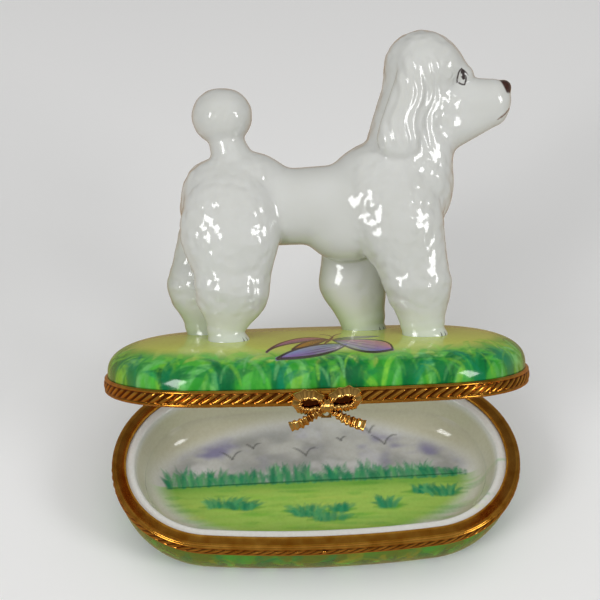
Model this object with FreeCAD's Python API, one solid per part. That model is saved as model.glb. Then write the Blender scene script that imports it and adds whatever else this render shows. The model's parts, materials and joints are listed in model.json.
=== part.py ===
"""Hinged porcelain trinket box with a standing poodle on its lid, held open on its hinge stop.

Millimetres. Origin at the centre of the foot, +Z up, +X towards the dog's nose, +Y towards the hinge.
The lid, the dog and the clasp are built with the lid shut and then turned open about the hinge axis.
"""
import FreeCAD, Part
import math
import os

from FreeCAD import Vector

# ---- driving dimensions -------------------------------------------------------------------------
HALF_LENGTH = 41.0            # outer half length of the gilt rims
HALF_DEPTH = 21.8             # outer half depth of the gilt rims
END_RADIUS = 20.6             # plan radius of the two rounded ends

BASE_HEIGHT = 14.0            # foot to the face where box and lid meet
BASE_BAND = 2.6               # height of the rim on the box
LID_BAND = 3.0                # height of the rim on the lid
BAND_THICKNESS = 0.7          # brass of the upright band
FLANGE_WIDTH = 3.0            # flat brass ledge, from the outside of the rim
FLANGE_THICKNESS = 0.6
GALLERY_DEPTH = 0.45          # patterned strip soldered round each band
GALLERY_MARGIN = 0.15         # plain band left above and below the strip
BEAD_RADIUS = 0.28            # plain bead along each edge of the strip
LID_GAP = 0.1                 # between the two flanges with the lid shut

BASE_BULGE_INSET = 0.72       # porcelain of the box, just under its band
BASE_FOOT_INSET = 6.0         # further inset of the foot
LIP_WIDTH = 1.8               # porcelain ledge seen inside the flange
BASE_FLOOR = 4.5              # thickness of the box's floor
INNER_DRAFT = 1.6             # inward slope of the inside wall
INNER_FILLET = 4.5

DOME_INSET = 0.84             # porcelain of the lid, just above its band
DOME_SHOULDER = 12.8          # how far in the shoulder runs
DOME_RISE = 5.6               # height of the shoulder
DOME_CROWN = 1.25             # extra height at the middle
DOME_POWER = 3.0              # squareness of the shoulder
LID_WALL = 2.0
LID_MOUTH_STEP = 0.5          # lid's mouth inside the flange
DOME_STEPS = 9                # spans of the dome's curve
CORE_INSET = 15.0             # inside this inset the lid's top and the box's floor are level

OPEN_ANGLE = 40.5             # lid against its stop
HINGE_OFFSET = 2.0            # hinge axis behind the rims
KNUCKLE_RADIUS = 1.5
KNUCKLE_LENGTH = 2.8
KNUCKLE_GAP = 0.1             # between neighbouring knuckles
PIN_RADIUS = 0.6
PIN_HEAD = 0.35               # peened head past each end knuckle
RUNNING_CLEARANCE = 0.05      # radial, turning knuckles on their pins
LEAF_EDGE = 0.3               # leaf stops this far from the meeting face
STOP_SHELF_CLEARANCE = 0.25   # between the turning knuckles and the stop shelf
STOP_SHELF_THICKNESS = 0.7
STOP_SHELF_REACH = 2.0        # past the hinge axis
STOP_GAP = 0.02
STOP_TAIL_BACK = 1.7          # past the hinge axis with the lid open

CLASP_AXIS_HEIGHT = 2.6       # above the meeting face
CLASP_AXIS_OFFSET = 0.75      # in front of the rims
CLASP_KNUCKLE_RADIUS = 0.62
CLASP_PIN_RADIUS = 0.28
TONGUE_WIDTH = 1.8
TONGUE_THICKNESS = 0.4
TONGUE_GAP = 0.15             # between tongue and rim
TONGUE_EDGE = 0.33            # tongue left below its hole
CLASP_BEARING_LENGTH = 1.1
STUD_DROP = 1.0               # stud below the meeting face
STUD_RADIUS = 0.45
STUD_HOLE_CLEARANCE = 0.12
STUD_ENGAGEMENT = 0.05        # how far the tongue springs over the stud
BOW_HALF_WIDTH = 6.3
BOW_DEPTH = 1.3
BOW_RIBBON = 0.7              # ribbon's width in the face of the bow
BOW_LOOP_HALF_HEIGHT = 1.75
BOW_LOOP_TILT = 12            # degrees, the loops' outer ends lifted
BOW_TAIL_REACH = 5.6          # tip of a tail to the side of the knot
BOW_TAIL_FALL = 3.7           # and below it
BOW_TAIL_WIDTH = 1.9          # at its tip
BOW_TAIL_THICKNESS = 0.8
BOW_STEM_WIDTH = 1.4
BOW_KNOT_HALF = 1.2
BOW_KNOT_DEPTH = 1.56
BOW_KNOT_DROP = 2.0           # knot below the clasp axis
BOW_STANDOFF = 0.75           # back of the bow in front of the clasp axis

FIGURE_WALL = 2.4             # slip-cast wall of the dog
VENT_RADIUS = 0.5

# ---- places worked out from them ----------------------------------------------------------------
STRAIGHT_HALF = HALF_LENGTH - END_RADIUS
SIDE_RADIUS = (STRAIGHT_HALF ** 2 + HALF_DEPTH ** 2 - END_RADIUS ** 2) / (2 * (HALF_DEPTH - END_RADIUS))
SIDE_HALF_ANGLE = math.degrees(math.atan2(STRAIGHT_HALF, SIDE_RADIUS - HALF_DEPTH))
MEET = BASE_HEIGHT
LID_Z = MEET + LID_GAP
HINGE_Y = HALF_DEPTH + HINGE_OFFSET
BAND_INNER = GALLERY_DEPTH + BAND_THICKNESS
CLASP_Y = -(HALF_DEPTH + CLASP_AXIS_OFFSET)
CLASP_Z = MEET + CLASP_AXIS_HEIGHT
STOP_SHELF_DROP = KNUCKLE_RADIUS + STOP_SHELF_CLEARANCE
STUD_Z = MEET - STUD_DROP
STUD_HOLE_RADIUS = STUD_RADIUS + STUD_HOLE_CLEARANCE
TONGUE_END = STUD_Z - STUD_HOLE_RADIUS - TONGUE_EDGE
UP = Vector(0, 0, 1)


# ---- helpers ------------------------------------------------------------------------------------
def point(inset, height, radius):
    """A point of a rim section: inset from the rims' outside, at a height, for an arc of this radius."""
    return Vector(radius - inset, 0, height)


def section_face(steps, radius):
    """Face bounded by straight runs, arcs and splines. A step is a tuple of (inset, height) points:
    one point is a straight run to it, two an arc through the first, more a spline through them all."""
    first = point(*steps[0][-1], radius)
    here = first
    edges = []
    for step in steps[1:]:
        ends = [point(inset, height, radius) for inset, height in step]
        if len(ends) == 1:
            edge = Part.LineSegment(here, ends[0]).toShape()
        elif len(ends) == 2:
            edge = Part.Arc(here, ends[0], ends[1]).toShape()
        else:
            spline = Part.BSplineCurve()
            spline.interpolate([here] + ends)
            edge = spline.toShape()
        edges.append(edge)
        here = ends[-1]
    edges.append(Part.LineSegment(here, first).toShape())
    return Part.Face(Part.Wire(edges))


def round_the_oval(steps):
    """Solid made by carrying a section round the four arcs of the plan outline."""
    end_x = HALF_LENGTH - END_RADIUS
    side_y = SIDE_RADIUS - HALF_DEPTH
    side = SIDE_HALF_ANGLE
    arcs = [(end_x, 0, END_RADIUS, side - 90, 90 - side), (0, -side_y, SIDE_RADIUS, 90 - side, 90 + side),
            (-end_x, 0, END_RADIUS, 90 + side, 270 - side), (0, side_y, SIDE_RADIUS, 270 - side, 270 + side)]
    pieces = []
    for x, y, radius, start, stop in arcs:
        piece = section_face(steps, radius).revolve(Vector(), UP, stop - start)
        piece.rotate(Vector(), UP, start)
        piece.translate(Vector(x, y, 0))
        pieces.append(piece)
    return pieces[0].multiFuse(pieces[1:]).removeSplitter()


def oval_prism(inset, low, high):
    """Upright prism on the plan outline, drawn in by an inset."""
    end_x = HALF_LENGTH - END_RADIUS
    side_y = SIDE_RADIUS - HALF_DEPTH
    corner = math.radians(90 - SIDE_HALF_ANGLE)
    join_x = end_x + (END_RADIUS - inset) * math.cos(corner)
    join_y = (END_RADIUS - inset) * math.sin(corner)
    tip_x = HALF_LENGTH - inset
    top_y = SIDE_RADIUS - inset - side_y
    right = Part.Arc(Vector(join_x, -join_y, low), Vector(tip_x, 0, low), Vector(join_x, join_y, low))
    back = Part.Arc(Vector(join_x, join_y, low), Vector(0, top_y, low), Vector(-join_x, join_y, low))
    left = Part.Arc(Vector(-join_x, join_y, low), Vector(-tip_x, 0, low), Vector(-join_x, -join_y, low))
    front = Part.Arc(Vector(-join_x, -join_y, low), Vector(0, -top_y, low), Vector(join_x, -join_y, low))
    wire = Part.Wire([arc.toShape() for arc in (right, back, left, front)])
    return Part.Face(wire).extrude(Vector(0, 0, high - low))


def box(x, y, z):
    """Box from (low, high) pairs along each axis."""
    return Part.makeBox(x[1] - x[0], y[1] - y[0], z[1] - z[0], Vector(x[0], y[0], z[0]))


def rod(radius, x, y, z):
    """Cylinder along X from x[0] to x[1]."""
    return Part.makeCylinder(radius, x[1] - x[0], Vector(x[0], y, z), Vector(1, 0, 0))


def fuse(shapes):
    return shapes[0].multiFuse(shapes[1:])


def cut(shape, *tools):
    for tool in tools:
        shape = shape.cut(tool)
    return shape


# ---- the box ------------------------------------------------------------------------------------
def base_bowl():
    inner_top = FLANGE_WIDTH + LIP_WIDTH
    inner_low = inner_top + INNER_DRAFT
    wall_top = MEET - FLANGE_THICKNESS
    under_band = MEET - BASE_BAND
    foot = BASE_BULGE_INSET + BASE_FOOT_INSET
    quarter = math.sqrt(0.5)
    bulge_mid = (foot - BASE_FOOT_INSET * quarter, under_band * (1 - quarter))
    fillet_mid = (inner_low + INNER_FILLET * (1 - quarter), BASE_FLOOR + INNER_FILLET * (1 - quarter))
    steps = [((BAND_INNER, wall_top),), ((BAND_INNER, under_band),), ((BASE_BULGE_INSET, under_band),),
             (bulge_mid, (foot, 0)), ((CORE_INSET, 0),), ((CORE_INSET, BASE_FLOOR),),
             ((inner_low + INNER_FILLET, BASE_FLOOR),), (fillet_mid, (inner_low, BASE_FLOOR + INNER_FILLET)),
             ((inner_top, wall_top),)]
    return round_the_oval(steps).fuse(oval_prism(CORE_INSET, 0, BASE_FLOOR)).removeSplitter()


def rim_band(meet, away):
    """Angle-section band: flange at the meeting face, upright band running away from it (up is +1)."""
    height = LID_BAND if away > 0 else BASE_BAND
    flange_back = meet + away * FLANGE_THICKNESS
    band_end = meet + away * height
    steps = [((GALLERY_DEPTH, meet),), ((FLANGE_WIDTH, meet),), ((FLANGE_WIDTH, flange_back),),
             ((BAND_INNER, flange_back),), ((BAND_INNER, band_end),), ((GALLERY_DEPTH, band_end),)]
    return round_the_oval(steps)


def rim_gallery(low, high):
    """Patterned strip: two plain beads with the rope ground between them."""
    ground = GALLERY_DEPTH / 3
    bead = 2 * BEAD_RADIUS
    steps = [((GALLERY_DEPTH, low),), ((ground, low),), ((0, low + BEAD_RADIUS), (ground, low + bead)),
             ((ground, high - bead),), ((0, high - BEAD_RADIUS), (ground, high)), ((GALLERY_DEPTH, high),)]
    return round_the_oval(steps)


def knuckle_spans():
    """X spans of the five hinge knuckles, left to right."""
    pitch = KNUCKLE_LENGTH + KNUCKLE_GAP
    return [((index - 2) * pitch - KNUCKLE_LENGTH / 2, (index - 2) * pitch + KNUCKLE_LENGTH / 2)
            for index in range(5)]


def hinge_knuckle(span, bore):
    return rod(KNUCKLE_RADIUS, span, HINGE_Y, MEET).cut(rod(bore, span, HINGE_Y, MEET))


def base_hinge_leaf(band, gallery):
    """Leaf soldered to the box's band: one arm to each of its knuckles and the shelf that stops the lid."""
    spans = knuckle_spans()
    low = MEET - STOP_SHELF_DROP - STOP_SHELF_THICKNESS
    shelf_y = (HALF_DEPTH - GALLERY_DEPTH, HINGE_Y + STOP_SHELF_REACH)
    shelf = box((spans[0][0], spans[4][1]), shelf_y, (low, MEET - STOP_SHELF_DROP))
    arms = [box(span, (HALF_DEPTH - GALLERY_DEPTH, HINGE_Y), (low, MEET - LEAF_EDGE)) for span in spans[::2]]
    leaf = fuse([shelf] + arms)
    knuckles = [rod(KNUCKLE_RADIUS, span, HINGE_Y, MEET) for span in spans[::2]]
    return cut(leaf, band, gallery, *knuckles)


def hinge_pin():
    spans = knuckle_spans()
    heads = [(spans[0][0] - PIN_HEAD, spans[0][0]), (spans[4][1], spans[4][1] + PIN_HEAD)]
    shank = rod(PIN_RADIUS, (heads[0][0], heads[1][1]), HINGE_Y, MEET)
    return fuse([shank] + [rod(PIN_RADIUS * 1.5, head, HINGE_Y, MEET) for head in heads])


def catch_stud(gallery):
    """Ball on the front of the box's rim that the clasp's tongue snaps over."""
    front = -(HALF_DEPTH + TONGUE_GAP + STUD_ENGAGEMENT)
    ball = Part.makeSphere(STUD_RADIUS, Vector(0, front + STUD_RADIUS, STUD_Z))
    around = 2 * STUD_RADIUS
    inside = box((-around, around), (-(HALF_DEPTH - GALLERY_DEPTH), 0), (STUD_Z - around, STUD_Z + around))
    return cut(ball, gallery, inside).Solids[0]


# ---- the lid, shut ------------------------------------------------------------------------------
def dome_height(inset, edge, rise):
    """Height above the shoulder's start of a squarish shoulder with a low crown."""
    run = inset - edge
    shoulder = min(run / DOME_SHOULDER, 1)
    crown = 1 - (1 - run / (HALF_DEPTH - edge)) ** 2
    return rise * (1 - (1 - shoulder) ** DOME_POWER) ** (1 / DOME_POWER) + DOME_CROWN * crown


def dome_curve(edge, start, rise):
    """Points of the dome from its edge in to the level middle, closer together on the shoulder."""
    runs = [(CORE_INSET - edge) * (step / DOME_STEPS) ** 2 for step in range(1, DOME_STEPS + 1)]
    return [(edge + run, start + dome_height(edge + run, edge, rise)) for run in runs]


def lid_shell():
    """Domed porcelain shell that seats inside the lid's band and on its top edge."""
    seat = LID_Z + LID_BAND
    low = LID_Z + FLANGE_THICKNESS
    outer = dome_curve(DOME_INSET, seat, DOME_RISE)
    inner_edge = FLANGE_WIDTH + LID_MOUTH_STEP
    inner = dome_curve(inner_edge, seat - LID_WALL, DOME_RISE)
    inner_top = inner[-1][1]
    steps = [((inner_edge, low),), ((BAND_INNER, low),), ((BAND_INNER, seat),), ((DOME_INSET, seat),),
             tuple(outer), ((CORE_INSET, inner_top),),
             tuple(reversed(inner[:-1])) + ((inner_edge, seat - LID_WALL),)]
    return round_the_oval(steps).fuse(oval_prism(CORE_INSET, inner_top, outer[-1][1])).removeSplitter()


def lid_block():
    """The lid's outside as one full solid, to cut the dog's feet to."""
    seat = LID_Z + LID_BAND
    outer = dome_curve(DOME_INSET, seat, DOME_RISE)
    steps = [((CORE_INSET, LID_Z),), ((DOME_INSET, LID_Z),), ((DOME_INSET, seat),), tuple(outer)]
    return round_the_oval(steps).fuse(oval_prism(CORE_INSET, LID_Z, outer[-1][1])).removeSplitter()


def lid_knuckle(span, band, gallery):
    """Turning knuckle with its leaf on the lid's band and the tail that meets the stop shelf."""
    leaf_z = (MEET + LEAF_EDGE, LID_Z + LID_BAND - GALLERY_MARGIN)
    leaf = box(span, (HALF_DEPTH - GALLERY_DEPTH, HINGE_Y), leaf_z)
    tail_z = (MEET - STOP_SHELF_DROP + STOP_GAP, MEET)
    tail = box(span, (HINGE_Y, HINGE_Y + STOP_TAIL_BACK), tail_z)
    tail.rotate(Vector(0, HINGE_Y, MEET), Vector(1, 0, 0), OPEN_ANGLE)
    body = fuse([rod(KNUCKLE_RADIUS, span, HINGE_Y, MEET), leaf, tail])
    return cut(body, rod(PIN_RADIUS + RUNNING_CLEARANCE, span, HINGE_Y, MEET), band, gallery)


def clasp_bearing(side, band, gallery, shell):
    """Half of the clasp's hinge on the front of the lid's rim; the pin's end is held in it."""
    inner = TONGUE_WIDTH / 2 + KNUCKLE_GAP
    span = tuple(sorted((side * inner, side * (inner + CLASP_BEARING_LENGTH))))
    foot = box(span, (CLASP_Y, -(HALF_DEPTH - GALLERY_DEPTH)), (CLASP_Z - CLASP_KNUCKLE_RADIUS, CLASP_Z))
    body = fuse([rod(CLASP_KNUCKLE_RADIUS, span, CLASP_Y, CLASP_Z), foot])
    return cut(body, rod(CLASP_PIN_RADIUS, span, CLASP_Y, CLASP_Z), band, gallery, shell)


def clasp_pin():
    reach = TONGUE_WIDTH / 2 + KNUCKLE_GAP + CLASP_BEARING_LENGTH
    return rod(CLASP_PIN_RADIUS, (-reach, reach), CLASP_Y, CLASP_Z)


# ---- the clasp, shut ----------------------------------------------------------------------------
def clasp_tongue():
    """Springy tongue under the bow, with the hole that snaps over the catch stud."""
    span = (-TONGUE_WIDTH / 2, TONGUE_WIDTH / 2)
    inner_y = -(HALF_DEPTH + TONGUE_GAP)
    plate = box(span, (inner_y - TONGUE_THICKNESS, inner_y), (TONGUE_END, CLASP_Z))
    body = plate.fuse(rod(CLASP_KNUCKLE_RADIUS, span, CLASP_Y, CLASP_Z))
    hole_start = Vector(0, inner_y + TONGUE_THICKNESS / 2, STUD_Z)
    hole = Part.makeCylinder(STUD_HOLE_RADIUS, 2 * TONGUE_THICKNESS, hole_start, Vector(0, -1, 0))
    return cut(body, hole, rod(CLASP_PIN_RADIUS + RUNNING_CLEARANCE, span, CLASP_Y, CLASP_Z))


def flat_ellipse(half_width, half_height, depth):
    """Elliptical slab standing in the face of the bow."""
    rim = Part.Wire([Part.Ellipse(Vector(), half_width, half_height).toShape()])
    slab = Part.Face(rim).extrude(Vector(0, 0, depth))
    slab.rotate(Vector(), Vector(1, 0, 0), 90)
    slab.translate(Vector(0, depth / 2, 0))
    return slab


def bow_loop(side):
    """One open loop of the ribbon, lying in the face of the bow."""
    half_width = (BOW_HALF_WIDTH - BOW_KNOT_HALF / 2) / 2
    loop = flat_ellipse(half_width, BOW_LOOP_HALF_HEIGHT, BOW_DEPTH)
    eye = flat_ellipse(half_width - BOW_RIBBON, BOW_LOOP_HALF_HEIGHT - BOW_RIBBON, BOW_DEPTH)
    ring = loop.cut(eye)
    ring.rotate(Vector(), Vector(0, 1, 0), -side * BOW_LOOP_TILT)
    ring.translate(Vector(side * (BOW_HALF_WIDTH - half_width), 0, BOW_LOOP_HALF_HEIGHT / 2))
    return ring


def bow_tail(side):
    """One ribbon end, spreading and widening downwards from the knot."""
    start, tip = Vector(0, 0, 0), Vector(side * BOW_TAIL_REACH, 0, -BOW_TAIL_FALL)
    across = (tip - start).cross(Vector(0, side, 0)).normalize()
    half_start = across * BOW_RIBBON / 2
    half_tip = across * BOW_TAIL_WIDTH / 2
    corners = [start - half_start, start + half_start, tip + half_tip, tip - half_tip]
    face = Part.Face(Part.makePolygon(corners + corners[:1]))
    tail = face.extrude(Vector(0, BOW_TAIL_THICKNESS, 0))
    tail.translate(Vector(0, -BOW_TAIL_THICKNESS / 2, 0))
    return tail


def clasp_bow(tongue):
    """Cast ribbon bow on a short stem from the tongue."""
    half = (-BOW_KNOT_HALF, BOW_KNOT_HALF)
    knot = box(half, (-BOW_KNOT_DEPTH / 2, BOW_KNOT_DEPTH / 2), half)
    knot = knot.makeFillet(BOW_KNOT_HALF / 3, knot.Edges)
    stem_half = (-BOW_STEM_WIDTH / 2, BOW_STEM_WIDTH / 2)
    stem = box(stem_half, (0, BOW_STANDOFF + BOW_DEPTH / 2), stem_half)
    bow = fuse([knot, stem] + [part(side) for side in (-1, 1) for part in (bow_loop, bow_tail)])
    bow.translate(Vector(0, CLASP_Y - BOW_STANDOFF - BOW_DEPTH / 2, CLASP_Z - BOW_KNOT_DROP))
    return bow.cut(tongue)


# ---- the dog, on the shut lid -------------------------------------------------------------------
# Each casting is a turned form. A ring is (place along the axis, radius); an axis is a point on it
# (x, y, height above the meeting face) and a direction.
BODY_AXIS = ((0, 0, 34.0), (1, 0, 0))
BODY_RINGS = [(-25.4, 0), (-23.8, 5.6), (-18.5, 9.2), (-13.5, 9.4), (-8.0, 8.3), (-2.0, 7.4), (4.0, 8.8),
              (10.5, 10.2), (17.0, 10.2), (23.6, 7.2), (26.2, 0)]
HEAD_AXIS = ((19.6, 0, 0), (0.03, 0, 1))
HEAD_RINGS = [(38.0, 7.4), (46.0, 7.0), (52.0, 6.8), (58.0, 7.3), (62.0, 6.6), (65.6, 3.6), (66.7, 0)]
MUZZLE_AXIS = ((0, 0, 53.0), (1, 0, 0.02))
MUZZLE_RINGS = [(20.0, 6.4), (27.0, 6.0), (32.0, 5.0), (36.4, 3.6), (38.0, 0)]
EAR_AXIS = ((17.2, 5.8, 0), (0.12, 0, 1))
EAR_RINGS = [(42.5, 0), (44.5, 2.2), (49.0, 3.0), (55.0, 2.7), (60.0, 1.7), (62.0, 0)]
TAIL_AXIS = ((-16.9, 0, 0), (0, 0, 1))
TAIL_RINGS = [(40.0, 3.9), (44.6, 3.2), (46.8, 3.3), (48.6, 4.7), (51.6, 5.3), (54.8, 4.2), (56.8, 0)]
LEG_SIDE = 4.6                # legs' distance from the dog's middle
HIND_RINGS = [(31.0, 5.6), (24.0, 6.4), (18.0, 5.7), (12.5, 3.9), (7.5, 3.7)]
FORE_RINGS = [(31.0, 5.2), (24.0, 5.6), (17.5, 5.2), (12.0, 4.1), (7.0, 3.8)]
HIND_FEET = {"right": -17.0, "left": -21.0}
HIND_LEAN = {"right": 0.04, "left": 0.06}    # forward per unit of height
FORE_FEET = {"right": 20.6, "left": 9.6}
FORE_LEAN = {"right": -0.10, "left": -0.06}


def figure_form(axis, rings, wall=0.0):
    """Turned form through a ring list, drawn in by a wall."""
    (x, y, z), direction = axis
    outline = [Vector(max(radius - wall, 0), 0, place) for place, radius in rings]
    if outline[0].x:
        outline.insert(0, Vector(0, 0, outline[0].z))
    if outline[-1].x:
        outline.append(Vector(0, 0, outline[-1].z))
    form = Part.Face(Part.makePolygon(outline + outline[:1])).revolve(Vector(), UP, 360)
    form.Placement = FreeCAD.Placement(Vector(x, y, z + MEET), FreeCAD.Rotation(UP, Vector(*direction)))
    return form


def figure_cavity():
    """The hollow left by slip casting: one space through the body, the neck and the head."""
    return figure_form(BODY_AXIS, BODY_RINGS[1:-1], FIGURE_WALL).fuse(
        figure_form(HEAD_AXIS, HEAD_RINGS[:5], FIGURE_WALL))


def poodle_leg(side, foot, lean, rings, *tools):
    """A leg casting cut to the body above, to the lid below and to the dog's middle plane."""
    lowest = rings[-1][0]
    axis = ((foot - lean * lowest, side * LEG_SIDE, 0), (lean, 0, 1))
    above = MEET + rings[0][0] + 1
    other_side = box((-HALF_LENGTH, HALF_LENGTH), sorted((0, -side * HALF_DEPTH)), (0, above))
    leg = cut(figure_form(axis, rings), other_side, *tools)
    return max(leg.Solids, key=lambda solid: solid.Volume)


# ---- assembly -----------------------------------------------------------------------------------
def opened(shape):
    turned = shape.copy()
    turned.rotate(Vector(0, HINGE_Y, MEET), Vector(1, 0, 0), -OPEN_ANGLE)
    return turned


def base_nodes():
    spans = knuckle_spans()
    band = rim_band(MEET, -1)
    gallery = rim_gallery(MEET - BASE_BAND + GALLERY_MARGIN, MEET - GALLERY_MARGIN)
    gallery = gallery.cut(box((spans[0][0], spans[4][1]), (0, HINGE_Y), (0, MEET)))
    nodes = {"base_bowl": base_bowl(), "base_rim_band": band, "base_rim_gallery": gallery}
    nodes["base_hinge_leaf"] = base_hinge_leaf(band, gallery)
    for name, span in zip(("left", "centre", "right"), spans[::2]):
        nodes["base_knuckle_" + name] = hinge_knuckle(span, PIN_RADIUS)
    nodes["hinge_pin"] = hinge_pin()
    nodes["catch_stud"] = catch_stud(gallery)
    return nodes


def lid_nodes():
    spans = knuckle_spans()
    band = rim_band(LID_Z, 1)
    gallery = rim_gallery(LID_Z + GALLERY_MARGIN, LID_Z + LID_BAND - GALLERY_MARGIN)
    gallery = gallery.cut(box((spans[0][0], spans[4][1]), (0, HINGE_Y), (LID_Z, LID_Z + LID_BAND)))
    shell = lid_shell()
    nodes = {"lid_shell": shell, "lid_rim_band": band, "lid_rim_gallery": gallery}
    for name, span in zip(("left", "right"), spans[1::2]):
        nodes["lid_knuckle_" + name] = lid_knuckle(span, band, gallery)
    for name, side in (("left", -1), ("right", 1)):
        nodes["clasp_bearing_" + name] = clasp_bearing(side, band, gallery, shell)
    nodes["clasp_pin"] = clasp_pin()
    return nodes


def poodle_nodes():
    lid = lid_block()
    body = figure_form(BODY_AXIS, BODY_RINGS)
    head = cut(figure_form(HEAD_AXIS, HEAD_RINGS).fuse(figure_form(MUZZLE_AXIS, MUZZLE_RINGS)), body)
    cavity = figure_cavity()
    waist, waist_radius = BODY_RINGS[5]
    belly = BODY_AXIS[0][2] + MEET - waist_radius
    vent = Part.makeCylinder(VENT_RADIUS, 2 * FIGURE_WALL, Vector(waist, 0, belly - FIGURE_WALL), UP)
    nodes = {"poodle_body": cut(body, cavity, vent), "poodle_head": head.cut(cavity)}
    (ear_x, ear_y, ear_z), ear_direction = EAR_AXIS
    for name, side in (("right", -1), ("left", 1)):
        ear = cut(figure_form(((ear_x, side * ear_y, ear_z), ear_direction), EAR_RINGS), head, body)
        nodes["poodle_ear_" + name] = max(ear.Solids, key=lambda solid: solid.Volume)
        foreleg = poodle_leg(side, FORE_FEET[name], FORE_LEAN[name], FORE_RINGS, body, lid)
        hindleg = poodle_leg(side, HIND_FEET[name], HIND_LEAN[name], HIND_RINGS, body, lid)
        nodes["poodle_foreleg_" + name] = foreleg
        nodes["poodle_hindleg_" + name] = hindleg
    nodes["poodle_tail"] = figure_form(TAIL_AXIS, TAIL_RINGS).cut(body)
    return nodes


def clasp_nodes():
    tongue = clasp_tongue()
    return {"clasp_tongue": tongue, "clasp_bow": clasp_bow(tongue)}


os.makedirs("parts", exist_ok=True)
solids = base_nodes()
for group in (lid_nodes(), poodle_nodes(), clasp_nodes()):
    for name, shape in group.items():
        solids[name] = opened(shape)
for name, shape in solids.items():
    shape.exportStep("parts/" + name + ".step")
    state = "valid" if shape.isValid() else "INVALID"
    print(name, len(shape.Solids), "solids", round(shape.Volume, 1), "mm3", state)
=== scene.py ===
"""Looks of the hinged porcelain trinket box with a poodle on its lid.

Shapes are worked out in millimetres in numpy, in the frame of the CAD model: origin at the foot, +Z up,
+X towards the dog's nose, +Y towards the hinge. What rides on the lid is shaped with the lid shut and
then turned open about the hinge.
"""
import json
import math

import bmesh
import bpy
import numpy as np
from mathutils import Matrix, Vector, kdtree

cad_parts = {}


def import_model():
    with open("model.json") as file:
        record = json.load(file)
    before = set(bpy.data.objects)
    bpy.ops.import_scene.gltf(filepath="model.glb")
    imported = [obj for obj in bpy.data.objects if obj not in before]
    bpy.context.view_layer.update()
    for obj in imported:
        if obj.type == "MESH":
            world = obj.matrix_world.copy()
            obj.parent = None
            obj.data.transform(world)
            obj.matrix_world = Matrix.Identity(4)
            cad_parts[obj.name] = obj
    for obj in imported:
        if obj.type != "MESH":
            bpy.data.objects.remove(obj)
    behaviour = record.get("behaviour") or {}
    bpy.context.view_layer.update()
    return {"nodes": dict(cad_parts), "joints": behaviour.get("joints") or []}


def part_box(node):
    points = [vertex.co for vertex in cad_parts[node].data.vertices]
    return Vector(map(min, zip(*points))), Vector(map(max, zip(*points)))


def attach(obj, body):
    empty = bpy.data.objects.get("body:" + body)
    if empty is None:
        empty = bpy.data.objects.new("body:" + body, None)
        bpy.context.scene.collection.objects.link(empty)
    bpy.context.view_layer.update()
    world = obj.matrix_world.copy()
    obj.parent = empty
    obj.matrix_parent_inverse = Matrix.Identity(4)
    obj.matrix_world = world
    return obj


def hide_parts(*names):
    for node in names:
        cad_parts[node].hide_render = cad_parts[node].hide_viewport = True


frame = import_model()

# ---- places read from the frame, in millimetres ----
MM = 0.001
joints = {joint["name"]: joint for joint in frame["joints"]}
high_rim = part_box("base_rim_gallery")[1] / MM
hinge_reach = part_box("base_hinge_leaf")[1].x / MM
HALF_LENGTH = round(high_rim.x, 2)
HALF_DEPTH = round(high_rim.y, 2)
HINGE_Y, MEET = [value / MM for value in joints["lid_hinge"]["pos_m"][1:]]
OPEN_ANGLE = math.radians(-joints["lid_hinge"]["range_deg"][0])

# ---- sizes shared with the CAD model, in millimetres ----
END_RADIUS = 20.6
BASE_BAND = 2.6
LID_BAND = 3.0
LID_Z = MEET + 0.1
FLANGE_WIDTH = 3.0
FLANGE_THICKNESS = 0.6
BAND_INNER = 1.15
GALLERY_DEPTH = 0.45
GALLERY_MARGIN = 0.15
LIP_WIDTH = 1.8
BASE_FLOOR = 4.5
INNER_DRAFT = 1.6
INNER_FILLET = 4.5
BULGE_INSET = 0.72
FOOT_INSET = 6.0
DOME_INSET = 0.84
DOME_SHOULDER = 12.8
DOME_RISE = 5.6
DOME_CROWN = 1.25
DOME_POWER = 3.0
LID_WALL = 2.0
LID_MOUTH_STEP = 0.5
CLASP_Y = -(HALF_DEPTH + 0.75)
CLASP_Z = MEET + 2.6
BOW_KNOT = (0.0, CLASP_Y - 1.4, CLASP_Z - 2.0)

# ---- looks ----
WELD = 0.004                  # points closer than this are joined, as at the middle of a floor or a dome
ELSEWHERE = 1e6               # a coordinate that no brush reaches
BOX_COUNT = 620               # points round the outline
LID_COUNT = 640
BAND_COUNT = 420
MEADOW_LENGTH = 33.0          # half the painted floor, along the box and across it
MEADOW_DEPTH = 14.4
ROPE_STRANDS = 108
STRAND_COUNT = 14             # points for each strand
BUTTERFLY_SQUASH = 0.5        # brush widths across the lid, as a share of those along it

END_X = HALF_LENGTH - END_RADIUS
SIDE_RADIUS = (END_X ** 2 + HALF_DEPTH ** 2 - END_RADIUS ** 2) / (2 * (HALF_DEPTH - END_RADIUS))
SIDE_Y = SIDE_RADIUS - HALF_DEPTH
SIDE_ANGLE = math.atan2(END_X, SIDE_Y)


# ---- small helpers ----
def add_object(thing):
    bpy.context.scene.collection.objects.link(thing)


def ease(low, high, value):
    """Smooth rise from 0 at low to 1 at high."""
    share = np.clip((value - low) / (high - low), 0, 1)
    return share * share * (3 - 2 * share)


def mix(first, second, share):
    first, second = np.asarray(first, float), np.asarray(second, float)
    return first + (second - first) * share


def opened(points):
    """Points of the shut lid, turned open about the hinge."""
    points = np.array(points, float)
    y = points[:, 1] - HINGE_Y
    z = points[:, 2] - MEET
    points[:, 1] = HINGE_Y + y * math.cos(OPEN_ANGLE) + z * math.sin(OPEN_ANGLE)
    points[:, 2] = MEET - y * math.sin(OPEN_ANGLE) + z * math.cos(OPEN_ANGLE)
    return points


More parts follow.
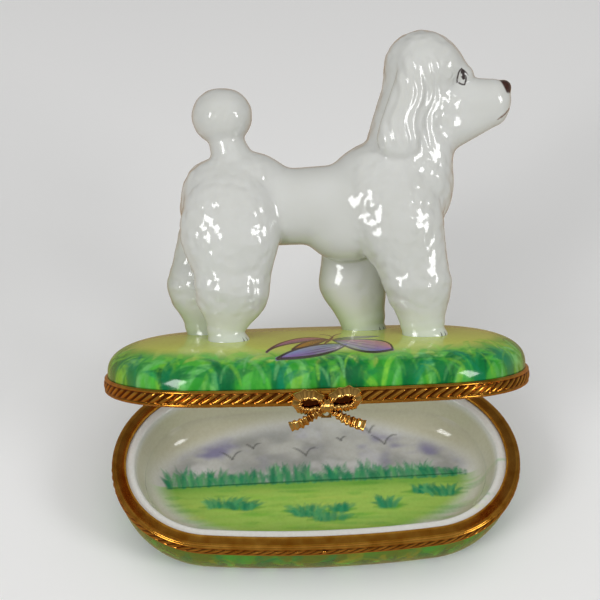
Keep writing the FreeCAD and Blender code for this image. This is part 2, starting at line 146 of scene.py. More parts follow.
def new_piece(name, points, faces, material, body, replaces, weld=0.0, colours=None):
    """Mesh piece from points in millimetres, riding on a body and standing for CAD nodes. Pieces on the
    lid and the clasp are shaped with the lid shut."""
    points = np.array(points, float) if body == "base" else opened(points)
    mesh = bpy.data.meshes.new(name)
    mesh.from_pydata((points * MM).tolist(), [], [list(map(int, face)) for face in faces])
    if colours is not None:
        layer = mesh.color_attributes.new("paint", "FLOAT_COLOR", "POINT")
        rgba = np.ones((len(points), 4), np.float32)
        rgba[:, :colours.shape[1]] = colours
        layer.data.foreach_set("color", rgba.ravel())
    if weld:
        work = bmesh.new()
        work.from_mesh(mesh)
        bmesh.ops.remove_doubles(work, verts=work.verts, dist=weld * MM)
        work.to_mesh(mesh)
        work.free()
    mesh.polygons.foreach_set("use_smooth", np.ones(len(mesh.polygons), bool))
    mesh.materials.append(material)
    mesh.update()
    piece = bpy.data.objects.new(name, mesh)
    add_object(piece)
    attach(piece, body)
    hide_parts(*replaces)


def grid_faces(rows, columns, wrap_rows=False, wrap_columns=False, start=0):
    """Quads of a grid of points stored row by row."""
    row = np.arange(rows if wrap_rows else rows - 1)
    column = np.arange(columns if wrap_columns else columns - 1)
    row, column = np.meshgrid(row, column, indexing="ij")
    next_row = (row + 1) % rows
    next_column = (column + 1) % columns
    quads = [row * columns + column, row * columns + next_column, next_row * columns + next_column,
             next_row * columns + column]
    return start + np.stack(quads, -1).reshape(-1, 4)


# ---- the plan outline ----
def outline(count, focus=0.0):
    """Points round the four-arc outline, their outward normals and arc lengths. They run from the middle
    of the back by the left end, and lie closer together at the middle of the front by the focus."""
    side = SIDE_ANGLE
    end = math.pi - 2 * side
    arcs = [(0, -SIDE_Y, SIDE_RADIUS, math.pi / 2, side),
            (-END_X, 0, END_RADIUS, math.pi / 2 + side, end),
            (0, SIDE_Y, SIDE_RADIUS, 1.5 * math.pi - side, 2 * side),
            (END_X, 0, END_RADIUS, 1.5 * math.pi + side, end),
            (0, -SIDE_Y, SIDE_RADIUS, math.pi / 2 - side, side)]
    lengths = np.array([radius * turn for _, _, radius, _, turn in arcs])
    starts = np.concatenate([[0], np.cumsum(lengths)])
    share = np.arange(count) / count
    along = (share + focus * np.sin(2 * math.pi * share) / (2 * math.pi)) * starts[-1]
    points = np.zeros((count, 2))
    normals = np.zeros((count, 2))
    for (x, y, radius, start, turn), begin, length in zip(arcs, starts, lengths):
        chosen = (along >= begin) & (along <= begin + length + 1e-9)
        angle = start + (along[chosen] - begin) / radius
        normals[chosen] = np.stack([np.cos(angle), np.sin(angle)], -1)
        points[chosen] = np.array([x, y]) + radius * normals[chosen]
    return points, normals, along, starts[-1]


def carry_round(profile, points, normals):
    """Points of a section (inset, height) carried round the outline, one row for each section point."""
    rows = []
    thin = HALF_DEPTH - END_RADIUS
    for inset, height in profile:
        ring = points - normals * min(inset, END_RADIUS)
        if inset > END_RADIUS:
            ring = ring * np.array([1, (HALF_DEPTH - inset) / thin])
        rows.append(np.column_stack([ring, np.full(len(ring), height)]))
    return np.concatenate(rows)


def turned(profile, count, focus=0.0):
    """A section carried round: the points, the section point and the place round that each comes from,
    and the outline's length."""
    points, normals, along, perimeter = outline(count, focus)
    rows = np.repeat(np.arange(len(profile)), count)
    return carry_round(profile, points, normals), rows, np.tile(along, len(profile)), perimeter


def resample(profile, spacing):
    """Points of a polyline at about even spacing, ends kept."""
    profile = np.array(profile, float)
    steps = np.hypot(*np.diff(profile, axis=0).T)
    along = np.concatenate([[0], np.cumsum(steps)])
    places = np.linspace(0, along[-1], max(2, int(round(along[-1] / spacing)) + 1))
    return np.column_stack([np.interp(places, along, column) for column in profile.T])


def arc(centre, radius, start, stop, count):
    """Arc of a section, angles in degrees."""
    angle = np.radians(np.linspace(start, stop, count))
    return np.column_stack([centre[0] + radius * np.cos(angle), centre[1] + radius * np.sin(angle)])


# ---- painting ----
def value_noise(u, v, scale, seed):
    """Smooth noise from 0 to 1 on a lattice of the given pitch."""
    lattice = np.random.RandomState(seed).rand(64, 64)
    u = np.asarray(u) / scale
    v = np.asarray(v) / scale
    column = np.floor(u).astype(int)
    row = np.floor(v).astype(int)
    share_u = ease(0, 1, u - column)
    share_v = ease(0, 1, v - row)
    corner = [lattice[(row + i) % 64, (column + j) % 64] for i in (0, 1) for j in (0, 1)]
    return mix(mix(corner[0], corner[1], share_u), mix(corner[2], corner[3], share_u), share_v)


def fractal_noise(u, v, scale, seed, octaves=3):
    total = sum(value_noise(u, v, scale / 2 ** level, seed + level) / 2 ** level for level in range(octaves))
    return total / sum(1 / 2 ** level for level in range(octaves))


class Painting:
    """Colours at points of a surface laid out flat, painted over with washes and brush strokes."""

    def __init__(self, u, v, colour):
        self.u = np.asarray(u, float)
        self.v = np.asarray(v, float)
        self.colours = np.tile(np.array(colour, float), (len(self.u), 1))

    def over(self, u, v):
        """The same colours, to be stroked over other coordinates."""
        layer = Painting(u, v, (0, 0, 0))
        layer.colours = self.colours
        return layer

    def wash(self, colour, share):
        share = np.clip(share, 0, 1)[:, None]
        self.colours = mix(self.colours, colour, share)

    def stroke(self, route, width, colour, opacity=0.8, taper=(0.3, 0.1), soft=0.35, bristle=0.0, seed=0):
        """Brush stroke along a route; tapers are the shares of its width left at its two ends."""
        route = np.array(route, float)
        margin = width + soft
        low = route.min(0) - margin
        high = route.max(0) + margin
        near = np.nonzero((self.u > low[0]) & (self.u < high[0]) & (self.v > low[1]) & (self.v < high[1]))[0]
        if not len(near):
            return
        u = self.u[near]
        v = self.v[near]
        best = np.full(len(near), 1e9)
        where = np.zeros(len(near))
        sideways = np.zeros(len(near))
        lengths = np.hypot(*np.diff(route, axis=0).T)
        total = lengths.sum()
        passed = 0.0
        for start, end, length in zip(route[:-1], route[1:], lengths):
            direction = (end - start) / max(length, 1e-9)
            offset_u = u - start[0]
            offset_v = v - start[1]
            reach = np.clip(offset_u * direction[0] + offset_v * direction[1], 0, length)
            gap = np.hypot(offset_u - reach * direction[0], offset_v - reach * direction[1])
            closer = gap < best
            best[closer] = gap[closer]
            where[closer] = (passed + reach[closer]) / total
            sideways[closer] = (offset_u * -direction[1] + offset_v * direction[0])[closer]
            passed += length
        body = np.minimum(ease(-0.001, 0.35, where) * (1 - taper[0]) + taper[0],
                          ease(-0.001, 0.35, 1 - where) * (1 - taper[1]) + taper[1])
        cover = 1 - ease(width * body / 2 - soft / 2, width * body / 2 + soft / 2, best)
        if bristle:
            grain = value_noise(sideways + 31.7 * seed, where * 6, 0.35, seed % 997)
            cover = cover * (1 - bristle * grain)
        self.colours[near] = mix(self.colours[near], colour, (cover * opacity)[:, None])


def bend(start, middle, end, count=9):
    """Points of a quadratic curve."""
    share = np.linspace(0, 1, count)[:, None]
    start, middle, end = [np.array(point, float) for point in (start, middle, end)]
    return (1 - share) ** 2 * start + 2 * share * (1 - share) * middle + share ** 2 * end


# ---- materials ----
def fill_ramp(node, stops):
    elements = node.color_ramp.elements
    while len(elements) < len(stops):
        elements.new(0.5)
    for element, (place, colour) in zip(elements, stops):
        element.position = place
        element.color = (*colour, 1)


class Nodes:
    """A material's node tree with short calls to add and link nodes."""

    def __init__(self, name):
        self.material = bpy.data.materials.new(name)
        self.material.use_nodes = True
        self.tree = self.material.node_tree
        self.shader = self.tree.nodes["Principled BSDF"]

    def add(self, kind, **settings):
        node = self.tree.nodes.new(kind)
        for key, value in settings.items():
            if hasattr(node, key):
                setattr(node, key, value)
            else:
                node.inputs[key.replace("_", " ")].default_value = value
        return node

    def dress(self, **values):
        """Values for the shader's inputs, spaces in their names written as underlines."""
        for name, value in values.items():
            self.shader.inputs[name.replace("_", " ")].default_value = value

    def link(self, source, target):
        self.tree.links.new(source, target)

    def noise(self, scale, detail=3.0, roughness=0.5):
        node = self.add("ShaderNodeTexNoise", Scale=scale, Detail=detail, Roughness=roughness)
        self.link(self.add("ShaderNodeTexCoord").outputs["Object"], node.inputs["Vector"])
        return node.outputs["Fac"]

    def paint(self, output):
        return self.add("ShaderNodeAttribute", attribute_name="paint").outputs[output]

    def ramp(self, source, stops):
        node = self.add("ShaderNodeValToRGB")
        fill_ramp(node, stops)
        self.link(source, node.inputs["Fac"])
        return node.outputs["Color"]

    def mix_colour(self, factor, first, second, blend="MIX"):
        node = self.add("ShaderNodeMix", data_type="RGBA", blend_type=blend)
        for name, value in (("Factor", factor), (6, first), (7, second)):
            socket = node.inputs[name]
            if isinstance(value, bpy.types.NodeSocket):
                self.link(value, socket)
            else:
                socket.default_value = value if isinstance(value, float) else (*value, 1)
        return node.outputs[2]

    def bump(self, height, strength, distance):
        node = self.add("ShaderNodeBump", Strength=strength, Distance=distance)
        self.link(height, node.inputs["Height"])
        return node.outputs["Normal"]


def glaze(nodes, colour, waviness, coat):
    """Glossy glaze over a colour: slightly uneven gloss and a faintly wavy surface."""
    shader = nodes.shader
    nodes.link(colour, shader.inputs["Base Color"])
    nodes.dress(IOR=1.5, Coat_Weight=coat, Coat_Roughness=0.03)
    gloss = nodes.ramp(nodes.noise(700, 4), [(0.3, (0.10,) * 3), (0.75, (0.17,) * 3)])
    nodes.link(gloss, shader.inputs["Roughness"])
    for surface in ("Normal", "Coat Normal"):
        nodes.link(nodes.bump(nodes.noise(230, 2), 0.35, waviness), shader.inputs[surface])


def painted_material():
    """White porcelain with hand painting under the glaze; paint pools a little unevenly."""
    nodes = Nodes("painted_porcelain")
    pooled = nodes.mix_colour(nodes.ramp(nodes.noise(1500, 5, 0.6), [(0.35, (0,) * 3), (0.8, (0.35,) * 3)]),
                              nodes.paint("Color"), (0.75, 0.72, 0.6), "MULTIPLY")
    glaze(nodes, pooled, 0.00004, 0.25)
    return nodes.material


def white_material():
    """White porcelain of the dog, with its painted eyes, nose, mouth and claws, and its painted reflection,
    shade and eye highlights, in the paint attribute.
    """
    nodes = Nodes("white_porcelain")
    tone = nodes.ramp(nodes.noise(90, 3), [(0.3, (0.93, 0.93, 0.91)), (0.7, (1, 1, 1))])
    glaze(nodes, nodes.mix_colour(1.0, nodes.paint("Color"), tone, "MULTIPLY"), 0.00005, 0.6)
    nodes.dress(Subsurface_Weight=0.12, Subsurface_Radius=(1.0, 0.95, 0.8), Subsurface_Scale=0.0008)
    return nodes.material


def gilt_material(name, dull, bright):
    """Polished gilt brass with fine wiping marks, and painted shade: darker and redder in corners, from
    ambient occlusion, and where the paint attribute asks for it.
    """
    nodes = Nodes(name)
    worn = nodes.ramp(nodes.noise(420, 4), [(0.3, dull), (0.7, bright)])
    # Painted shade: ambient occlusion darkens the gilt towards a deep red-brown in corners and crevices.
    painted_shade = nodes.add("ShaderNodeAmbientOcclusion", samples=6)
    painted_shade.inputs["Distance"].default_value = 0.0007
    dark = nodes.add("ShaderNodeMath", operation="MAXIMUM")
    nodes.link(nodes.ramp(painted_shade.outputs["AO"], [(0.35, (1,) * 3), (0.9, (0,) * 3)]), dark.inputs[0])
    nodes.link(nodes.paint("Fac"), dark.inputs[1])
    colour = nodes.mix_colour(dark.outputs[0], worn, (0.15, 0.022, 0.003))
    nodes.link(colour, nodes.shader.inputs["Base Color"])
    nodes.dress(Metallic=1.0)
    nodes.link(nodes.ramp(nodes.noise(2600, 5, 0.65), [(0.3, (0.12,) * 3), (0.8, (0.26,) * 3)]),
               nodes.shader.inputs["Roughness"])
    nodes.link(nodes.bump(nodes.noise(1900, 4, 0.6), 0.25, 0.00003), nodes.shader.inputs["Normal"])
    return nodes.material


painted = painted_material()
white = white_material()
gilt = gilt_material("gilt_brass", (0.60, 0.24, 0.022), (0.92, 0.46, 0.075))
# Painted light: a brighter, yellower copy of the gilt for the bow, standing in for its stronger highlights.
lit_gilt = gilt_material("lit_gilt_brass", (0.80, 0.40, 0.07), (0.96, 0.62, 0.19))

WHITE = (0.80, 0.80, 0.775)
OLIVE = (0.26, 0.25, 0.008)
MOSS = (0.10, 0.13, 0.006)
PALE_LAWN = (0.60, 0.71, 0.13)
GOLD = (0.46, 0.36, 0.03)
LIME = (0.24, 0.62, 0.045)
LEAF = (0.09, 0.50, 0.05)
MEADOW = (0.03, 0.34, 0.03)
EMERALD = (0.0, 0.20, 0.04)
DEEP = (0.0, 0.11, 0.03)
MINT = (0.20, 0.60, 0.20)
TEAL = (0.0, 0.24, 0.11)
# grey of the painted sky, darkened further as painted shade
SHADED_SKY = (0.42, 0.42, 0.42)
CLOUD = (0.80, 0.80, 0.82)
STORM = (0.28, 0.26, 0.47)
INK = (0.035, 0.02, 0.02)


# ---- the box ----
def bowl_profile():
    """Section of the porcelain box from the middle of the foot, over the lip, to the middle of the floor."""
    under_band = MEET - BASE_BAND
    foot = BULGE_INSET + FOOT_INSET
    wall_top = MEET - FLANGE_THICKNESS
    lip = FLANGE_WIDTH + LIP_WIDTH
    inner_low = lip + INNER_DRAFT
    quarter = np.radians(np.linspace(90, 0, 40))
    bulge = np.column_stack([foot - FOOT_INSET * np.cos(quarter), under_band * (1 - np.sin(quarter))])
    outside = resample(bulge, 0.4)
    rounded = arc((lip - 0.5, wall_top - 0.5), 0.5, 90, 0, 5)
    wall = resample([(lip, wall_top - 0.5), (inner_low, BASE_FLOOR + INNER_FILLET)], 0.45)[1:]
    turn = (inner_low + INNER_FILLET, BASE_FLOOR + INNER_FILLET)
    fillet = resample(arc(turn, INNER_FILLET, 180, 270, 40), 0.3)[1:]
    floor = resample([(inner_low + INNER_FILLET, BASE_FLOOR), (HALF_DEPTH, BASE_FLOOR)], 0.25)[1:]
    return foot, outside, rounded, wall, fillet, floor


def bush(painting, rand, at, spread, height, blades, colour):
    """A tuft of grass: soft blades fanning up from one place, some paler than others."""
    for _ in range(blades):
        root = at[0] + rand.uniform(-spread, spread)
        lean = (root - at[0]) * 0.7 + rand.uniform(-1.3, 1.3)
        tall = height * rand.uniform(0.35, 1.0)
        shade = mix(colour, MINT, rand.uniform(0, 0.8) ** 2) * rand.uniform(0.8, 1.3)
        route = bend((root, at[1] + rand.uniform(-0.3, 0.2)), (root + lean * 0.25, at[1] + tall * 0.7),
                     (root + lean, at[1] + tall))
        painting.stroke(route, rand.uniform(0.4, 0.95), shade, rand.uniform(0.45, 0.9), (0.9, 0.08), 0.4, 0.4,
                        rand.randint(9000))


def bird(painting, x, y, span, colour, seed):
    """A far gull: two bent wing strokes."""
    rand = np.random.RandomState(seed)
    lift = span * 0.22
    body = (x, y - lift)
    left = (x - span * 0.5, y + lift * rand.uniform(0.6, 1))
    painting.stroke(bend(left, (x - span * 0.22, y + lift * 0.3), body), 0.42, colour, 0.7, (0.25, 0.9), 0.22)
    right = (x + span * 0.5, y + lift * rand.uniform(0.5, 1))
    painting.stroke(bend(body, (x + span * 0.15, y + lift * 1.1), right), 0.36, colour, 0.7, (0.9, 0.2), 0.22)


def paint_meadow(painting, inside):
    """The box's floor: a grey sky, darkened further with painted shade, with clouds and gulls over a field
    with tufts of grass.
    """
    u, v = painting.u, painting.v
    rand = np.random.RandomState(7)
    reach = 1 - ease(0.86, 1.05, np.hypot(u / MEADOW_LENGTH, v / MEADOW_DEPTH))
    horizon = 0.35 + 0.012 * u
    above = ease(-0.1, 0.1, v - horizon)
    haze = fractal_noise(u, v * 1.6, 7.0, 21)
    # The grey sky is painted sky darkened further with painted shade, for the lid's shadow over the back of
    # the floor.
    painting.wash(SHADED_SKY, inside * reach * above * (0.35 + 0.6 * ease(0.3, 0.7, haze)))
    storm = fractal_noise(u * 0.8, v * 1.3, 5.5, 40)
    rim = ease(0.45, 0.85, np.hypot(u / 31.0, v / 13.5))
    painting.wash(STORM, inside * reach * above * ease(0.45, 0.75, storm) * (0.3 + 0.7 * rim) * 0.9)
    cloud = ease(0.55, 0.8, fractal_noise(u, v * 1.5, 6.0, 77))
    painting.wash(CLOUD, inside * reach * above * cloud * 0.6)
    below = 1 - above
    field = mix(LIME, PALE_LAWN, 0.45)
    painting.wash(field, inside * reach * below * 0.95)
    for _ in range(150):
        x = rand.uniform(-33, 30)
        y = rand.uniform(-14, 0.2)
        length = rand.uniform(3, 10)
        colour = [LIME, LEAF, PALE_LAWN, LEAF, MEADOW][rand.randint(5)]
        painting.stroke(bend((x, y), (x + length / 2, y + rand.uniform(-0.3, 0.3)), (x + length, y)),
                        rand.uniform(0.4, 1.1), colour, rand.uniform(0.15, 0.5), (0.2, 0.1), 0.5, 0.5,
                        rand.randint(900))
    painting.wash(MEADOW, inside * reach * below * (1 - ease(0.2, 3.4, horizon - v)) * 0.5)
    for x in np.arange(-28.5, 29.5, 1.7):
        tall = 1.6 + 4.2 * value_noise(np.array([x]), np.array([0.0]), 3.4, 5)[0] ** 1.5
        bush(painting, rand, (x + rand.uniform(-0.8, 0.8), 0.35 + 0.012 * x), 1.5, tall, 12, TEAL)
    skyline = [(-30, -0.35), (-16, 0.05), (0, 0.35), (16, 0.6), (30.5, 1.0)]
    painting.stroke(skyline, 0.34, DEEP, 0.85, (0.5, 0.7), 0.25)
    tufts = ((-19, -5.2, 3.0, 2.0), (-15, -5.8, 2.2, 1.6), (-2.0, -7.8, 2.6, 2.4), (2.2, -9.0, 2.8, 1.9),
             (4.2, -7.0, 1.8, 1.8), (14.5, -6.4, 1.9, 2.4), (21.5, -3.2, 2.6, 1.8), (26, -4.0, 2.4, 2.2))
    for x, y, wide, tall in tufts:
        painting.stroke([(x - wide * 1.6, y), (x + wide * 2.0, y + 0.2)], 1.1, MEADOW, 0.7, (0.1, 0.1), 0.8)
        bush(painting, rand, (x, y), wide, tall * 1.25, 34, TEAL)
    gulls = ((-17.0, 7.4, 5.0), (-12.6, 9.6, 3.2), (-1.6, 7.9, 5.4), (12.2, 12.6, 3.0), (15.2, 10.2, 5.6),
             (6.0, 10.8, 2.4))
    for number, (x, y, span) in enumerate(gulls):
        bird(painting, x, y, span, (0.12, 0.12, 0.12), number)


def leafy_strokes(painting, rand, s_span, v_span, count, palette, width, scale=1.0):
    """Curved leaf-like strokes that fan up from the rim and lean over."""
    for _ in range(count):
        s = rand.uniform(*s_span)
        v = rand.uniform(*v_span)
        rise = rand.uniform(2.0, 5.2) * scale
        lean = rand.uniform(-5.5, 5.5) * scale
        colour = np.array(palette[rand.randint(len(palette))]) * rand.uniform(0.85, 1.2)
        route = bend((s, v), (s + lean * 0.15, v + rise * 0.85), (s + lean, v + rise))
        painting.stroke(route, rand.uniform(*width), colour, rand.uniform(0.35, 0.85), (0.45, 0.08), 0.45,
                        0.55, rand.randint(9000))


def grass_clumps(painting, rand, perimeter, root, rise, upward, dark, pale):
    """Sweeping grass round the rim: clumps of dark blades rooted at the rim, pale ones arching between."""
    place = 0.0
    while place < perimeter:
        pitch = rand.uniform(5.5, 10.5)
        lean = rand.uniform(-0.35, 0.35)
        for shades, blades, middle, spread, sweep, width in ((pale, 16, 0.5, 0.45, 0.9, (0.7, 1.8)),
                                                             (dark, 15, 0.0, 0.12, 0.75, (0.8, 2.0))):
            for _ in range(blades):
                start = place + pitch * (middle + rand.uniform(-spread, spread))
                reach = pitch * (lean + rand.uniform(-sweep, sweep))
                tall = rise * rand.uniform(0.4, 1.1) * upward
                route = bend((start, root - 0.8 * upward), (start + reach * 0.2, root + tall),
                             (start + reach, root + tall * rand.uniform(0.7, 1.0)))
                shade = np.array(shades[rand.randint(len(shades))]) * rand.uniform(0.8, 1.25)
                painting.stroke(route, rand.uniform(*width), shade, rand.uniform(0.4, 0.9), (0.8, 0.06),
                                0.45, 0.6, rand.randint(9000))
        place += pitch


def box_porcelain():
    """Porcelain box: brushed green outside, white lip, walls darkened olive-grey with painted shade, painted
    floor.
    """
    foot, outside, rounded, wall, fillet, floor = bowl_profile()
    under_band = MEET - BASE_BAND
    wall_top = MEET - FLANGE_THICKNESS
    flat_foot = resample([(HALF_DEPTH, 0), (foot, 0)], 1.2)
    seat = np.array([(BAND_INNER, under_band), (BAND_INNER, wall_top), (3.6, wall_top)])
    profile = np.concatenate([flat_foot, outside[1:], seat, rounded, wall, fillet, floor])
    first_inside = len(flat_foot) + len(outside) - 1 + len(seat) - 2
    places, rows, s, perimeter = turned(profile, BOX_COUNT)
    run = np.concatenate([[0], np.cumsum(np.hypot(*np.diff(profile, axis=0).T))])[rows]
    edge_run = run[(len(flat_foot) + len(outside) - 2) * BOX_COUNT]
    green = Painting(s, edge_run - run, (0.10, 0.17, 0.01))
    rand = np.random.RandomState(11)
    tone = fractal_noise(s, run, 9.0, 3)
    green.wash(MEADOW, ease(0.35, 0.7, tone))
    darks = [OLIVE, MOSS, MEADOW, MOSS, EMERALD]
    leafy_strokes(green, rand, (0, perimeter), (-1, 14), 420, darks, (1.2, 2.6), 1.1)
    grass_clumps(green, rand, perimeter, 14.0, 12.0, -1, [EMERALD, DEEP, DEEP], [OLIVE, MEADOW, MOSS, LEAF])
    inside = (rows >= first_inside).astype(float)
    meadow = Painting(places[:, 0], places[:, 1], WHITE)
    paint_meadow(meadow, inside)
    # Painted shade: the white inner walls are washed olive-grey below the lip, for the shade and green-tinged
    # reflected light inside the box.
    wall_shade = ease(0.95, 1.1, np.hypot(places[:, 0] / MEADOW_LENGTH, places[:, 1] / MEADOW_DEPTH))
    wall_shade = wall_shade * (1 - ease(wall_top - 1.8, wall_top - 0.3, places[:, 2]))
    meadow.wash((0.60, 0.57, 0.38), inside * wall_shade * 0.75)
    colours = np.where(inside[:, None] > 0, meadow.colours, green.colours)
    bare = (rows < len(flat_foot)) * ease(foot - 0.4, foot + 0.6, profile[rows, 0])
    colours = mix(colours, WHITE, bare[:, None])
    faces = grid_faces(len(profile), BOX_COUNT, wrap_columns=True)
    new_piece("box_porcelain", places, faces, painted, "base", ["base_bowl"],
              weld=WELD, colours=colours)


# ---- the lid ----
def dome_height(inset, edge):
    run = inset - edge
    shoulder = np.minimum(run / DOME_SHOULDER, 1)
    crown = 1 - (1 - run / (HALF_DEPTH - edge)) ** 2
    return DOME_RISE * (1 - (1 - shoulder) ** DOME_POWER) ** (1 / DOME_POWER) + DOME_CROWN * crown


def dome_profile(edge, start, spacing):
    inset = edge + (HALF_DEPTH - edge) * np.linspace(0, 1, 600) ** 2.2
    return resample(np.column_stack([inset, start + dome_height(inset, edge)]), spacing)


def butterfly(painting, x, y):
    """A butterfly resting on the lawn in front of the dog, drawn larger along the lid than across it."""
    flat = painting.over(x, y * BUTTERFLY_SQUASH)

    def place(points):
        return np.array(points) * (1, BUTTERFLY_SQUASH)

    def wing(root, tip, upper, lower, colours, outline_width):
        for share in np.linspace(0.1, 0.9, 12):
            middle = mix(upper, lower, share)
            shade = mix(*colours, share)
            flat.stroke(place(bend(root, middle, tip, 10)), 0.62, shade, 0.62, (0.3, 0.6), 0.3, 0.5,
                        int(90 * share))
        for edge in (upper, lower):
            flat.stroke(place(bend(root, edge, tip, 14)), outline_width, INK, 0.96, (0.7, 0.9), 0.12)
        for share in (0.3, 0.52, 0.74):
            middle = mix(upper, lower, share)
            vein = bend(root, middle, tip, 14)[:int(7 + 6 * share)]
            flat.stroke(place(vein), 0.2, INK, 0.55, (0.9, 0.2), 0.12)

    violet, rose, amber = (0.28, 0.10, 0.42), (0.66, 0.17, 0.22), (0.36, 0.16, 0.005)
    iris, pink, sky = (0.15, 0.17, 0.66), (0.78, 0.13, 0.42), (0.26, 0.42, 0.74)
    sand, straw = (0.50, 0.42, 0.30), (0.50, 0.50, 0.34)
    wings = (((1.6, -7.4), (-10.0, -15.0), (-3.5, -0.5), (-7.8, -10.5), (rose, violet), 0.42),
             ((1.4, -8.0), (-5.3, -14.2), (-1.8, -6.0), (-1.0, -13.0), (amber, (0.42, 0.20, 0.01)), 0.46),
             ((4.6, -12.4), (-8.3, -17.6), (0.0, -9.2), (2.2, -18.2), (sky, violet), 0.42),
             ((2.4, -8.4), (12.7, -15.4), (13.6, -7.0), (5.2, -19.0), (pink, iris), 0.44),
             ((2.4, -7.6), (11.2, -5.8), (7.0, -4.6), (7.5, -7.6), (sand, straw), 0.3))
    for numbers in wings:
        wing(*numbers)
    trunk = [(2.6, -5.6), (1.9, -8.2), (0.6, -11.6)]
    flat.stroke(place(trunk), 0.6, (0.12, 0.05, 0.02), 0.95, (0.8, 0.4), 0.15)
    for tip in ((4.6, -1.5), (0.6, -2.0)):
        flat.stroke(place(bend((2.5, -6.0), (2.8, -3.4), tip, 8)), 0.3, INK, 0.85, (0.9, 0.7), 0.12)


def paint_lawn(painting, top, s, v, perimeter):
    """The lid: pale grass on top, deep leafy strokes down the sides."""
    x, y = top
    rand = np.random.RandomState(5)
    level = ease(5.0, 10.5, v)
    painting.wash(PALE_LAWN, level)
    painting.wash(GOLD, level * ease(2.0, 15.0, y) * 0.85)
    painting.wash(GOLD, level * ease(0.5, 0.85, fractal_noise(x, y, 9.0, 61)) * 0.3)
    painting.wash(LEAF, (1 - level) * ease(0.3, 0.7, fractal_noise(s, v, 6.0, 17)) * 0.8)
    leafy_strokes(painting, rand, (0, perimeter), (3.5, 6.5), 120, [LIME, LEAF, PALE_LAWN], (0.8, 2.0), 0.9)
    darks = [EMERALD, EMERALD, DEEP, TEAL]
    grass_clumps(painting, rand, perimeter, 0.0, 7.4, 1, darks, [LEAF, LIME, MEADOW, MINT])
    fresh = [LIME, LEAF, MINT, EMERALD]
    leafy_strokes(painting, rand, (0, perimeter), (0.5, 4.0), 110, fresh, (0.3, 0.8), 1.1)
    painting.wash(OLIVE, ease(30, 39.5, np.abs(x)) * (1 - ease(0.6, 5.0, v)) * 0.35)


def lid_porcelain():
    """Domed lid: brushed lawn with a butterfly in front of the dog, white underneath."""
    seat = LID_Z + LID_BAND
    low = LID_Z + FLANGE_THICKNESS
    inner_edge = FLANGE_WIDTH + LID_MOUTH_STEP
    under = dome_profile(inner_edge, seat - LID_WALL, 1.0)[::-1]
    outer = dome_profile(DOME_INSET, seat, 0.22)
    edge = np.array([(inner_edge, low + 0.2), (inner_edge - 0.2, low), (BAND_INNER, low), (BAND_INNER, seat)])
    profile = np.concatenate([under, edge, outer])
    places, rows, s, perimeter = turned(profile, LID_COUNT, 0.55)
    outer_start = len(under) + len(edge)
    run = np.concatenate([[0], np.cumsum(np.hypot(*np.diff(profile[outer_start:], axis=0).T))])
    v = np.concatenate([np.full(outer_start, -9.0), run])[rows]
    painting = Painting(s, v, MEADOW)
    paint_lawn(painting, (places[:, 0], places[:, 1]), s, v, perimeter)
    butterfly(painting, np.where(rows < outer_start, ELSEWHERE, places[:, 0]), places[:, 1])
    colours = np.where((rows < outer_start)[:, None], np.array(WHITE), painting.colours)
    faces = grid_faces(len(profile), LID_COUNT, wrap_columns=True)
    new_piece("lid_porcelain", places, faces, painted, "lid", ["lid_shell"],
              weld=WELD, colours=colours)


# ---- the rims ----
def rim_band(name, meet, away, height, body, node):
    """Brass band of angle section with rounded edges, the middle of its ledge darkened as a painted dark
    reflection.
    """
    soft = 0.12
    ledge = [(inset, 0) for inset in (GALLERY_DEPTH + soft, 1.0, 1.25, 2.35, 2.6, FLANGE_WIDTH - soft)]
    section = [(GALLERY_DEPTH, soft), *ledge, (FLANGE_WIDTH, soft), (FLANGE_WIDTH, FLANGE_THICKNESS),
               (BAND_INNER, FLANGE_THICKNESS), (BAND_INNER, height), (GALLERY_DEPTH + soft, height),
               (GALLERY_DEPTH, height - soft)]
    profile = [(inset, meet + away * rise) for inset, rise in section]
    # Painted dark reflection: the middle of the flat ledge is darkened through the paint attribute, for the
    # shaded lid and room mirrored in it.
    painted_shade = np.zeros(len(profile))
    painted_shade[2:6] = (0.05, 0.5, 0.45, 0.05)
    points, normals, _, _ = outline(BAND_COUNT)
    places = carry_round(profile, points, normals)
    colours = np.repeat(painted_shade, len(points))[:, None] * np.ones(3)
    faces = grid_faces(len(profile), len(points), True, True)
    new_piece(name, places, faces, gilt, body, [node], colours=colours)


